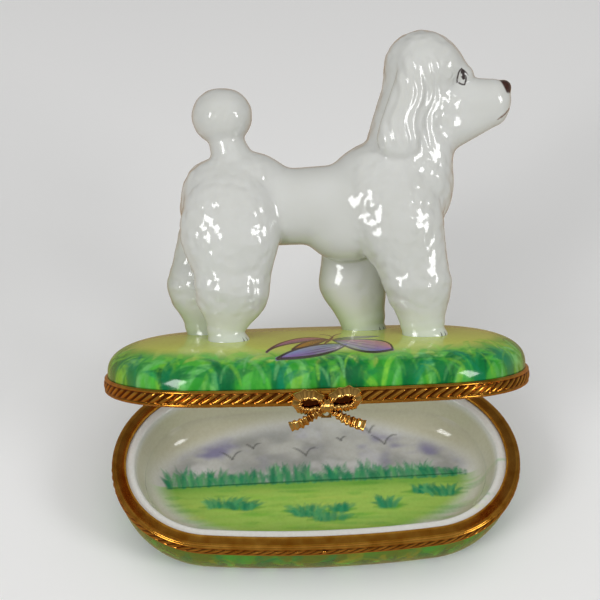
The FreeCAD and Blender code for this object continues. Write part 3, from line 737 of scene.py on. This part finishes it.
def rim_rope(name, low, high, body, node, lean):
    """Rope strip between two plain beads, run round the band and cut away at the hinge, with painted shade
    between the strands and along its edges.
    """
    points, normals, along, perimeter = outline(ROPE_STRANDS * STRAND_COUNT)
    bead = 0.22
    ground = np.linspace(low + 2 * bead, high - 2 * bead, 12)
    across = np.concatenate([np.linspace(low, ground[0], 8), ground[1:-1], np.linspace(ground[-1], high, 8)])
    middle = (low + high) / 2
    half = (high - low) / 2 - 2 * bead
    places = []
    painted_shades = []
    for height in across:
        if abs(height - middle) >= half:
            depth = math.sqrt(max(bead ** 2 - (abs(height - middle) - half - bead) ** 2, 0)) * 0.95
            out = np.full(len(along), depth + GALLERY_DEPTH / 3 - bead * 0.55)
            painted_shade = np.zeros(len(along))
        else:
            across_share = (height - middle) / half
            phase = (along * ROPE_STRANDS / perimeter - across_share * lean) % 1.0
            strand = np.sqrt(np.clip(1 - ((phase - 0.5) / 0.36) ** 2, 0, 1))
            round_off = math.sqrt(max(1 - across_share ** 2 * 0.85, 0))
            out = 0.36 * strand * round_off + 0.02
            # Painted shade in the gaps between the strands.
            painted_shade = 1 - ease(0.3, 0.75, strand * round_off)
        ring = points - normals * (GALLERY_DEPTH - out)[:, None]
        places.append(np.column_stack([ring, np.full(len(ring), height)]))
        painted_shades.append(painted_shade)
    # The strip's back edges, fully darkened with painted shade.
    for height in (high, low):
        ring = points - normals * (GALLERY_DEPTH + 0.02)
        places.append(np.column_stack([ring, np.full(len(ring), height)]))
        painted_shades.append(np.ones(len(ring)))
    places = np.concatenate(places)
    colours = np.concatenate(painted_shades)[:, None] * 0.9 * np.ones(3)
    faces = grid_faces(len(across) + 2, len(points), True, True)
    at_hinge = (np.abs(places[:, 0]) < hinge_reach) & (places[:, 1] > 0)
    faces = faces[~at_hinge[faces].any(1)]
    new_piece(name, places, faces, gilt, body, [node], colours=colours)


# ---- the dog ----
FEET = ((-16.5, -4.7), (-20.9, 4.7), (20.3, -4.7), (9.8, 4.7))
FEET_CUT = 8.8                # the feet end here, inside the lid's wall
EYE = (27.7, 58.0)


def ball(centre, radii):
    """Ellipsoid of clay."""
    centre, radii = np.array(centre, float), np.array(radii, float)

    def distance(x, y, z):
        scaled = [(axis - middle) / radius for axis, middle, radius in zip((x, y, z), centre, radii)]
        near = np.sqrt(sum(part ** 2 for part in scaled))
        slope = np.sqrt(sum((part / radius) ** 2 for part, radius in zip(scaled, radii)))
        return near * (near - 1) / np.maximum(slope, 1e-6)
    return centre - radii, centre + radii, distance


def limb(start, stop, first, last, flat=1.0):
    """Tapered limb of clay between two places, flattened from side to side."""
    start, stop = np.array(start, float), np.array(stop, float)
    widest = max(first, last)
    low = np.minimum(start, stop) - widest
    high = np.maximum(start, stop) + widest
    step = (stop - start) / np.array([1, flat, 1])
    length = step @ step

    def distance(x, y, z):
        rel = (x - start[0], (y - start[1]) / flat, z - start[2])
        share = np.clip(sum(part * along for part, along in zip(rel, step)) / length, 0, 1)
        gap = np.sqrt(sum((part - share * along) ** 2 for part, along in zip(rel, step)))
        return (gap - first - (last - first) * share) * (0.5 + 0.5 * flat)
    return low, high, distance


class Clay:
    """Distance to a lump of clay on a grid, negative inside."""

    def __init__(self, low, high, pitch):
        self.pitch = pitch
        self.low = np.array(low, float)
        self.axes = [np.arange(first, last, pitch) for first, last in zip(low, high)]
        self.field = np.full([len(axis) for axis in self.axes], 9.0, np.float32)

    def merge(self, shape, blend, margin=3.0):
        """Add a shape, its joint with the clay rounded over the blend length."""
        low, high, distance = shape
        first = np.maximum((low - margin - self.low) / self.pitch, 0).astype(int)
        last = ((high + margin - self.low) / self.pitch).astype(int) + 1
        window = tuple(slice(*ends) for ends in zip(first, last))
        x, y, z = (axis[part] for axis, part in zip(self.axes, window))
        fresh = distance(x[:, None, None], y[None, :, None], z[None, None, :])
        here = self.field[window]
        overlap = np.maximum(blend - np.abs(here - fresh), 0) / blend
        self.field[window] = np.minimum(here, fresh) - overlap ** 3 * blend / 6

    def sample(self, points):
        """Field at points, by trilinear interpolation."""
        place = (points - self.low) / self.pitch
        cell = np.clip(np.floor(place).astype(int), 0, np.array(self.field.shape) - 2)
        share = place - cell
        value = 0
        for corner in np.ndindex(2, 2, 2):
            weight = np.prod(np.where(np.array(corner), share, 1 - share), axis=1)
            value = value + weight * self.field[tuple((cell + corner).T)]
        return value

    def slope(self, points):
        steps = np.eye(3) * self.pitch
        rise = [self.sample(points + step) - self.sample(points - step) for step in steps]
        return np.stack(rise, -1) / (2 * self.pitch)

    def settle(self, points, rounds=2):
        """Points moved onto the surface."""
        for _ in range(rounds):
            slope = self.slope(points)
            square = np.maximum((slope ** 2).sum(1), 1e-3)
            points = points - slope * np.clip(self.sample(points) / square, -0.2, 0.2)[:, None]
        return points

    def surface(self):
        """Points and quads of the surface, one point for each grid cell that it crosses."""
        inside = self.field < 0
        count = sum(inside[tuple(slice(i, i - 1 or None) for i in corner)].astype(np.int8)
                    for corner in np.ndindex(2, 2, 2))
        cells = np.argwhere((count > 0) & (count < 8))
        total = np.zeros((len(cells), 3))
        crossings = np.zeros(len(cells))
        for axis in range(3):
            for corner in np.ndindex(2, 2, 2):
                if corner[axis]:
                    continue
                far = np.array(corner)
                far[axis] = 1
                first = self.field[tuple((cells + corner).T)]
                second = self.field[tuple((cells + far).T)]
                crossed = (first < 0) != (second < 0)
                share = np.where(crossed, first / np.where(crossed, first - second, 1), 0)
                place = np.array(corner) + share[:, None] * (far - np.array(corner))
                total += np.where(crossed[:, None], place, 0)
                crossings += crossed
        points = self.low + (cells + total / crossings[:, None]) * self.pitch
        number = np.full(count.shape, -1)
        number[tuple(cells.T)] = np.arange(len(cells))
        faces = []
        for axis in range(3):
            one, two = np.eye(3, dtype=int)[(axis + 1) % 3], np.eye(3, dtype=int)[(axis + 2) % 3]
            ahead = np.eye(3, dtype=int)[axis]
            here = inside[tuple(slice(1 - step, -1) for step in ahead)]
            there = inside[tuple(slice(1, None) if step else slice(1, -1) for step in ahead)]
            for leaving, order in ((here & ~there, (0, 1, 2, 3)), (~here & there, (0, 3, 2, 1))):
                edge = np.argwhere(leaving) + 1 - ahead
                ring = [edge, edge - one, edge - one - two, edge - two]
                faces.append(np.stack([number[tuple(ring[step].T)] for step in order], -1))
        return points, np.concatenate(faces)


def poodle_clay():
    """The dog's form, heights from the face where box and lid meet."""
    clay = Clay((-30, -11, 6.5), (40, 11, 69), 0.3)
    merge = clay.merge
    merge(ball((-15.8, 0, 34), (9.4, 7.4, 9.3)), 2.5)
    merge(ball((-12.5, 0, 39.6), (7.4, 5.4, 5.2)), 2)
    merge(ball((-18.3, 0, 37.6), (6.2, 6, 6)), 2)
    merge(limb((-14, 0, 34), (10, 0, 34.8), 7.0, 7.6, 0.82), 3)
    merge(ball((6, 0, 31.2), (8.3, 6.2, 7.6)), 2)
    merge(ball((14, 0, 35.5), (11.2, 8.3, 10.4)), 3)
    merge(ball((20.5, 0, 38.5), (6.0, 6.2, 8.5)), 2)
    merge(ball((10.3, 0, 40.5), (6, 5.6, 4.8)), 2.5)
    merge(limb((16.2, 0, 41), (19.9, 0, 55), 7.2, 6.5, 0.88), 2)
    merge(ball((21.5, 0, 44.5), (5.2, 5.2, 6)), 2)
    merge(ball((20.9, 0, 60), (7.0, 6.6, 6.7)), 2)
    merge(ball((24.3, 0, 60.2), (4.5, 4.9, 4.3)), 1.5)
    merge(limb((24.5, 0, 61.0), (28.4, 0, 58.3), 3.6, 2.3, 1.45), 1.2)
    merge(limb((25.0, 0, 53.2), (34.1, 0, 53.9), 5.2, 3.75, 0.84), 1.6)
    merge(limb((26.0, 0, 49.4), (34.0, 0, 51.7), 4.9, 3.1, 0.84), 2)
    merge(ball((36.5, 0, 56.0), (1.4, 1.8, 1.4)), 0.9)
    merge(limb((-14.6, 0, 41), (-16.5, 0, 47.5), 4.2, 3.1), 1.8)
    merge(limb((-17.5, 0, 51.6), (-16.5, 0, 51.6), 5.1, 5.1), 1.2)
    for side in (-1, 1):
        merge(ball((-16, 4.2 * side, 30.5), (9.2, 5.1, 10.5)), 2)
        merge(ball((15.5, 4 * side, 31.5), (8.2, 5.2, 9.6)), 2)
        merge(limb((18.8, 5.1 * side, 59.5), (15.6, 5.6 * side, 46.8), 2.7, 4.0, 0.56), 1.3)
    hind = ((-1, (-15.6, -16.0, -17.3), (8.2, 6.7, 3.6)), (1, (-18.6, -21.3, -21.3), (7.4, 6.9, 4.2)))
    for side, (hip, hock, foot), (thigh, shank, ankle) in hind:
        y = 4.7 * side
        merge(limb((hip, y, 28), (hock, y, 19), thigh, shank, 0.6), 1.5)
        merge(limb((hock, y, 19), (foot, y, 12), shank, ankle, 0.72), 1.2)
        merge(ball((foot + 0.4, y, 9.5), (3.9, 3.2, 2.3)), 0.8)
        merge(ball((foot + 2.2, y, 9.3), (2.2, 2.8, 1.7)), 0.7)
    fore = ((-1, (16.5, 19.1, 19.8), (7.4, 6.0, 4.3)), (1, (9.5, 7.6, 9.3), (7.6, 6.4, 4.6)))
    for side, (shoulder, elbow, wrist), (arm, shank, ankle) in fore:
        y = 4.7 * side
        merge(limb((shoulder, y, 29), (elbow, y, 19.3), arm, shank, 0.62), 1.5)
        merge(limb((elbow, y, 19.3), (wrist, y, 12.5), shank, ankle, 0.72), 1.2)
        merge(ball((wrist + 0.5, y, 9.7), (4.3, 3.2, 2.4)), 0.8)
        merge(ball((wrist + 2.4, y, 9.4), (2.2, 2.8, 1.7)), 0.7)
    clay.field = np.maximum(clay.field, FEET_CUT - clay.axes[2])
    return clay


def refine(points, faces, spots):
    """Mesh made finer round the places in spots, each a centre and a radius."""
    mesh = bpy.data.meshes.new("refining")
    mesh.from_pydata(points.tolist(), [], faces.tolist())
    work = bmesh.new()
    work.from_mesh(mesh)
    bpy.data.meshes.remove(mesh)
    edges = set()
    for centre, radius in spots:
        centre = Vector(centre)
        edges.update(edge for edge in work.edges if (edge.verts[0].co - centre).length < radius)
    bmesh.ops.subdivide_edges(work, edges=list(edges), cuts=2, use_grid_fill=True)
    work.verts.index_update()
    points = np.array([vertex.co[:] for vertex in work.verts])
    faces = [[vertex.index for vertex in face.verts] for face in work.faces]
    work.free()
    return points, faces


def curls(points, normals, faces, share):
    """Height of moulded curls at the points: small lumps, each with a comma-shaped groove."""
    rand = np.random.RandomState(3)
    order = rand.permutation(np.nonzero(share > 0.15)[0])[:9000]
    centres = []
    for index in order:
        place = points[index]
        if not centres or min_gap(centres, place) > 1.75:
            centres.append(place)
    nearest = np.full(len(points), 9.0)
    height = np.zeros(len(points))
    everything = kdtree.KDTree(len(points))
    for index, place in enumerate(points):
        everything.insert(place, index)
    everything.balance()
    for centre in centres:
        radius = rand.uniform(1.5, 2.3)
        found = np.array([index for _, index, _ in everything.find_range(centre, radius * 1.35)])
        if not len(found):
            continue
        normal = normals[found].mean(0)
        normal /= np.linalg.norm(normal)
        side = np.cross(normal, rand.normal(size=3))
        side /= np.linalg.norm(side)
        other = np.cross(normal, side)
        offset = points[found] - centre
        right = offset @ side
        up = offset @ other * rand.uniform(0.75, 1.0)
        reach = np.hypot(right, up) / radius
        turn = np.arctan2(up, right) * rand.choice((-1, 1))
        lump = 0.75 * (1 - reach ** 2) + 0.6 * np.cos(turn - 4.6 * reach + rand.uniform(0, 6.3)) * reach
        closer = reach < nearest[found]
        nearest[found[closer]] = reach[closer]
        height[found[closer]] = lump[closer]
    pairs = np.array([pair for face in faces for pair in zip(face, face[1:] + face[:1])])
    weight = np.bincount(pairs[:, 0], minlength=len(points)) + 1.0
    for _ in range(4):
        height = (height + np.bincount(pairs[:, 0], height[pairs[:, 1]], len(points))) / weight
    return height * share


def min_gap(centres, place):
    return np.sqrt(((np.array(centres) - place) ** 2).sum(1).min())


def paint_poodle(points):
    """White glaze with a painted green reflection of the lawn at the legs and painted shade on the far side,
    painted eyes with a painted highlight, nose, mouth and claws.
    """
    x, y, z = points.T
    painting = Painting(x, z, (0.71, 0.72, 0.695))
    # Painted light: a green reflection of the lawn near the feet, stronger on the far side, then painted
    # shade over the far side's lower half.
    far = ease(0.5, 4.0, y)
    painting.wash((0.50, 0.68, 0.38), (1 - ease(8.5, 15.0 + 10 * far, z)) * (0.3 + 0.3 * far))
    painting.wash((0.33, 0.36, 0.21), (1 - ease(18.0, 38.0, z)) * far * 0.5)
    side = np.abs(y) > 1.4
    u, v = EYE
    face = painting.over(np.where(side, x, ELSEWHERE), z)
    lids = (((-0.75, -1.15), (-0.75, 1.0), (0.1, 1.35), 0.34, (0.6, 0.8)),
            ((0.05, 1.35), (1.05, 0.7), (1.35, 0.15), 0.36, (0.8, 0.5)),
            ((-0.75, -0.75), (-0.1, -1.55), (0.75, -1.55), 0.34, (0.6, 0.8)),
            ((0.75, -1.5), (1.15, -0.8), (0.95, 0.1), 0.34, (0.8, 0.6)))
    for start, middle, end, width, taper in lids:
        face.stroke(bend(start, middle, end) + np.array(EYE), width, INK, 0.95, taper, 0.14)
    face.stroke([(u + 0.2, v + 0.85), (u + 0.55, v - 0.35)], 0.85, INK, 0.97, (0.8, 0.7), 0.14)
    # Painted highlight: a pale catch-light stroke in the eye.
    face.stroke([(u + 0.05, v + 0.35), (u + 0.12, v + 0.1)], 0.26, (0.8, 0.8, 0.78), 0.9, (0.9, 0.9), 0.1)
    nose = ease(35.9, 36.3, x + 0.45 * (z - 56)) * ease(54.6, 55.1, z)
    painting.wash((0.055, 0.018, 0.012), nose)
    lip = painting.over(np.where(x > 33.0, y, ELSEWHERE), z)
    lip.stroke([(0, 55.2), (0, 51.6)], 0.3, (0.12, 0.04, 0.02), 0.85, (0.9, 0.7), 0.15)
    mouth = painting.over(np.where(np.abs(y) < 4, x, ELSEWHERE), z)
    smile = bend((37.3, 52.0), (36.6, 50.9), (34.9, 49.9))
    mouth.stroke(smile, 0.3, (0.16, 0.07, 0.03), 0.85, (0.9, 0.3), 0.14)
    for foot_x, foot_y in FEET:
        near = (np.hypot(x - foot_x, y - foot_y) < 6) & (z < 12.5)
        around = 4.0 * np.arctan2(y - foot_y, x - foot_x)
        claws = painting.over(np.where(near, around, ELSEWHERE), z)
        for place in (-3.1, -2.0, 0.0, 1.6):
            claw = bend((place - 0.1, 8.9), (place + 0.25, 9.6), (place + 0.1, 10.4))
            claws.stroke(claw, 0.3, INK, 0.9, (0.5, 0.5), 0.14)
    return painting.colours


def poodle():
    """The dog: one glazed form with moulded curls."""
    clay = poodle_clay()
    points, faces = clay.surface()
    spots = [((EYE[0], side * 4.0, EYE[1]), 3.2) for side in (-1, 1)]
    spots += [((36.0, 0, 54.5), 3.6)] + [((x + 2.2, y, 9.6), 3.6) for x, y in FEET]
    points, faces = refine(points, faces, spots)
    points = clay.settle(points)
    normals = clay.slope(points)
    normals /= np.linalg.norm(normals, axis=1)[:, None]
    x, y, z = points.T
    coat = np.maximum(1 - ease(-10.5, -7.0, x), ease(6.0, 9.0, x))
    coat = coat * ease(12.5, 16.5, z)
    coat = coat * (1 - ease(25.0, 28.0, x) * ease(43, 45, z))
    tail = ease(42, 44, z) * (1 - ease(-9, -7, x))
    ears = ease(4.6, 5.6, np.abs(y)) * ease(44, 46, z)
    share = coat * (1 - 0.6 * tail) * (1 - 0.75 * ears)
    relief = 0.31 * curls(points, normals, faces, share)
    locks = np.cos(2 * math.pi * (x + 0.9 * np.sin(z * 0.42)) / 1.9 + 0.6 * np.sin(z * 0.9))
    relief = relief + 0.11 * locks * ears * (1 - ease(60, 63, z)) * (1 - ease(22, 24, x))
    shaped = points + normals * relief[:, None]
    shaped[:, 2] += MEET
    castings = [node for node in frame["nodes"] if node.startswith("poodle_")]
    colours = paint_poodle(points)
    new_piece("poodle", shaped, faces, white, "lid", castings, colours=colours)


# ---- the clasp ----
def smooth_route(places, count):
    """Smooth curve through listed places."""
    places = np.array(places, float)
    padded = np.concatenate([2 * places[:1] - places[1:2], places, 2 * places[-1:] - places[-2:-1]])
    along = np.linspace(0, len(places) - 1, count)
    span = np.minimum(along.astype(int), len(places) - 2)
    share = (along - span)[:, None]
    first, second, third, fourth = (padded[span + step] for step in range(4))
    square = 2 * first - 5 * second + 4 * third - fourth
    cube = 3 * second - first - 3 * third + fourth
    return 0.5 * (2 * second + (third - first) * share + square * share ** 2 + cube * share ** 3)


def ribbon(route, across, width, thickness, start):
    """Closed strip along a route; across is the way its width lies at each point."""
    along = np.gradient(route, axis=0)
    along /= np.linalg.norm(along, axis=1)[:, None]
    across = across - along * (across * along).sum(1)[:, None]
    across /= np.linalg.norm(across, axis=1)[:, None]
    normal = np.cross(along, across)
    sides = 14
    angle = 2 * math.pi * np.arange(sides) / sides
    wide = np.sign(np.cos(angle)) * np.abs(np.cos(angle)) ** 0.5
    thick = np.sign(np.sin(angle)) * np.abs(np.sin(angle)) ** 0.8
    points = (route[:, None, :] + across[:, None, :] * (width / 2)[:, None, None] * wide[None, :, None]
              + normal[:, None, :] * (thickness / 2)[:, None, None] * thick[None, :, None])
    faces = grid_faces(len(route), sides, wrap_columns=True, start=start).tolist()
    last = start + (len(route) - 1) * sides
    faces += [list(range(start + sides - 1, start - 1, -1)), list(range(last, last + sides))]
    return points.reshape(-1, 3), faces


def lump(centre, radii, pleats, start, rings=26, segments=40):
    """Pleated rounded lump with its pleats round the X axis."""
    polar = math.pi * (np.arange(rings) + 0.5) / rings
    turn = 2 * math.pi * np.arange(segments) / segments
    pleat = (np.sin(polar) * (1 + pleats * np.cos(10 * polar)))[:, None]
    points = np.stack([radii[0] * np.cos(polar)[:, None] * np.ones(segments), radii[1] * pleat * np.cos(turn),
                       radii[2] * pleat * np.sin(turn)], -1) + np.array(centre)
    faces = grid_faces(rings, segments, wrap_columns=True, start=start).tolist()
    faces.append(list(range(start + segments - 1, start - 1, -1)))
    faces.append(list(range(start + (rings - 1) * segments, start + rings * segments)))
    return points.reshape(-1, 3), faces


def bow():
    """Cast ribbon bow: two loops with dark webs in their eyes as painted shade, two crimped tails and a knot.
    """
    points, faces, painted_shades = [], [], []

    def add(part, painted_shade=0.0):
        points.extend(part[0])
        faces.extend(part[1])
        painted_shades.extend([painted_shade] * len(part[0]))
    loops = ([(0.1, 0.5), (1.3, 1.7), (3.0, 2.35), (4.7, 2.2), (5.35, 1.2), (4.8, -0.05), (3.5, -0.45),
              (1.9, -0.4), (0.1, -0.3)],
             [(-0.1, 0.45), (-1.3, 1.5), (-2.9, 2.0), (-4.5, 1.8), (-5.15, 0.8), (-4.7, -0.45), (-3.5, -0.85),
              (-1.9, -0.6), (-0.1, -0.35)])
    for flat in loops:
        centre = np.mean(flat, axis=0)
        places = [(x, -0.45 + 0.6 * abs(x) / 6, z) for x, z in flat]
        route = smooth_route(places, 130)
        outward = route - np.array([centre[0], 0, centre[1]])
        outward[:, 1] = 0
        outward /= np.linalg.norm(outward, axis=1)[:, None]
        share = np.linspace(0, 1, len(route))
        body = np.sin(math.pi * share) ** 0.6
        puff = 1 + 0.14 * np.cos(2 * math.pi * share * 9.0 + 1.0)
        lower = ease(0.5, 0.68, share)
        crimp = np.cos(2 * math.pi * share * 22) * lower + np.cos(2 * math.pi * share * 9 + 1.0) * (1 - lower)
        width = (1.0 + 1.15 * body) * puff * (1 - 0.2 * lower)
        across = outward * 0.8 + np.array([0, 0.6, 0])
        add(ribbon(route, across, width, 0.72 + 0.26 * crimp, len(points)))
        # Painted shade: a web fills each loop's eye and is darkened almost fully, where the loop's hollow
        # lies in shade.
        add(lump((centre[0], 0.42, centre[1] + 0.1), (2.1, 0.3, 1.15), 0.0, len(points), 14, 24), 0.95)
    tails = ([(0.1, -0.3), (1.4, -1.3), (2.9, -2.3), (4.4, -3.1), (6.6, -3.8)],
             [(-0.1, -0.3), (-1.5, -1.3), (-2.9, -2.1), (-4.5, -3.0), (-6.4, -3.6)])
    for flat in tails:
        places = [(x, 0.1 + 0.2 * math.sin(1.7 * x), z) for x, z in flat]
        route = smooth_route(places, 110)
        heading = np.gradient(route, axis=0)
        across = np.column_stack([-heading[:, 2], np.full(len(route), 0.03), heading[:, 0]])
        share = np.linspace(0, 1, len(route))
        crimp = np.cos(2 * math.pi * share * 8)
        strength = 1 - 0.65 * ease(0.72, 1.0, share)
        width = (1.1 + 0.9 * share ** 0.7) * (1 + 0.14 * crimp * strength)
        add(ribbon(route, across, width, 0.7 + 0.42 * crimp * strength, len(points)))
    add(lump((0, -0.35, 0), (1.3, 1.0, 1.25), 0.13, len(points)))
    colours = np.array(painted_shades)[:, None] * np.ones(3)
    places = np.array(points) + np.array(BOW_KNOT)
    new_piece("bow", places, faces, lit_gilt, "clasp", ["clasp_bow"], colours=colours)


for node_name in frame["nodes"]:
    frame["nodes"][node_name].data.materials.clear()
    frame["nodes"][node_name].data.materials.append(gilt)

box_porcelain()
lid_porcelain()
rim_band("base_band", MEET, -1, BASE_BAND, "base", "base_rim_band")
rim_band("lid_band", LID_Z, 1, LID_BAND, "lid", "lid_rim_band")
for body, low, high, lean in (("base", MEET - BASE_BAND, MEET, 0.6), ("lid", LID_Z, LID_Z + LID_BAND, 0.7)):
    rim_rope(body + "_rope", low + GALLERY_MARGIN, high - GALLERY_MARGIN, body, body + "_rim_gallery", lean)

poodle()
bow()


# ---- floor, camera and lights ----
FLOOR_REACH = 3.0             # metres


def stage():
    """Pale flat floor, which doesn't show in the glaze."""
    nodes = Nodes("pale_floor")
    tone = nodes.ramp(nodes.noise(6, 2), [(0.3, (0.93, 0.93, 0.93)), (0.7, (0.955, 0.955, 0.95))])
    nodes.link(tone, nodes.shader.inputs["Base Color"])
    nodes.dress(Roughness=0.9, Specular_IOR_Level=0.2)
    mesh = bpy.data.meshes.new("floor")
    corners = [(x * FLOOR_REACH, y * FLOOR_REACH, 0) for x, y in ((-1, -1), (1, -1), (1, 1), (-1, 1))]
    mesh.from_pydata(corners, [], [(0, 1, 2, 3)])
    mesh.materials.append(nodes.material)
    floor = bpy.data.objects.new("floor", mesh)
    add_object(floor)
    floor.visible_glossy = False


CAMERA_ELEVATION = math.radians(46.99)
CAMERA_AZIMUTH = math.radians(-4.27)
CAMERA_ROLL = math.radians(1.57)
CAMERA_DISTANCE = 205.0
CAMERA_TARGET = Vector((-4.27, 0, MEET + 45.56))
CAMERA_LENS = 71.6


def camera():
    """The camera, looking down at the front with a slight roll."""
    back = Vector((math.sin(CAMERA_AZIMUTH) * math.cos(CAMERA_ELEVATION),
                   -math.cos(CAMERA_AZIMUTH) * math.cos(CAMERA_ELEVATION), math.sin(CAMERA_ELEVATION)))
    right = (-back).cross(Vector((0, 0, 1))).normalized()
    up = right.cross(-back)
    rolled_right = right * math.cos(CAMERA_ROLL) + up * math.sin(CAMERA_ROLL)
    rolled_up = up * math.cos(CAMERA_ROLL) - right * math.sin(CAMERA_ROLL)
    turn = Matrix((rolled_right, rolled_up, back)).transposed().to_4x4()
    data = bpy.data.cameras.new("camera")
    data.lens = CAMERA_LENS
    data.sensor_width = 36
    view = bpy.data.objects.new("camera", data)
    view.matrix_world = Matrix.Translation((CAMERA_TARGET + back * CAMERA_DISTANCE) * MM) @ turn
    add_object(view)
    bpy.context.scene.camera = view
    bpy.context.scene.view_settings.view_transform = "Standard"


def softbox(name, place, aim, size, power, mirrored=True):
    """Rectangular area light, place and aim in metres; mirrored if it shows in the glaze."""
    data = bpy.data.lights.new(name, "AREA")
    data.shape = "RECTANGLE"
    data.size, data.size_y = size
    data.energy = power
    lamp = bpy.data.objects.new(name, data)
    lamp.visible_glossy = mirrored
    lamp.location = place
    lamp.rotation_euler = (Vector(aim) - Vector(place)).to_track_quat("-Z", "Y").to_euler()
    add_object(lamp)


def world():
    """Soft grey room round the lights, bright overhead, with a warm glow for the gilt from below."""
    room = bpy.data.worlds.new("room")
    bpy.context.scene.world = room
    room.use_nodes = True
    tree = room.node_tree
    coordinates = tree.nodes.new("ShaderNodeTexCoord")
    height = tree.nodes.new("ShaderNodeVectorMath")
    height.operation = "DOT_PRODUCT"
    height.inputs[1].default_value = (0, -0.06, 0.44)
    raised = tree.nodes.new("ShaderNodeMath")
    raised.inputs[1].default_value = 0.5
    ramp = tree.nodes.new("ShaderNodeValToRGB")
    fill_ramp(ramp, [(0.34, (0.80, 0.54, 0.30)), (0.44, (0.66, 0.65, 0.64)), (0.58, (0.62, 0.62, 0.61)),
                     (0.66, (0.36, 0.35, 0.33)), (0.80, (0.38, 0.37, 0.36)), (0.95, (0.90, 0.90, 0.90))])
    tree.links.new(coordinates.outputs["Generated"], height.inputs[0])
    tree.links.new(height.outputs["Value"], raised.inputs[0])
    tree.links.new(raised.outputs[0], ramp.inputs["Fac"])
    tree.links.new(ramp.outputs["Color"], tree.nodes["Background"].inputs["Color"])
    tree.nodes["Background"].inputs["Strength"].default_value = 0.40


stage()
camera()
world()
softbox("left_box", (-0.42, -0.36, 0.42), (0, 0, 0.05), (0.20, 0.28), 1.5)
softbox("right_box", (0.46, -0.30, 0.40), (0, 0, 0.05), (0.16, 0.26), 1.1)
softbox("top_box", (0.0, -0.06, 0.95), (0, 0, 0.03), (1.0, 0.8), 3.1, mirrored=False)
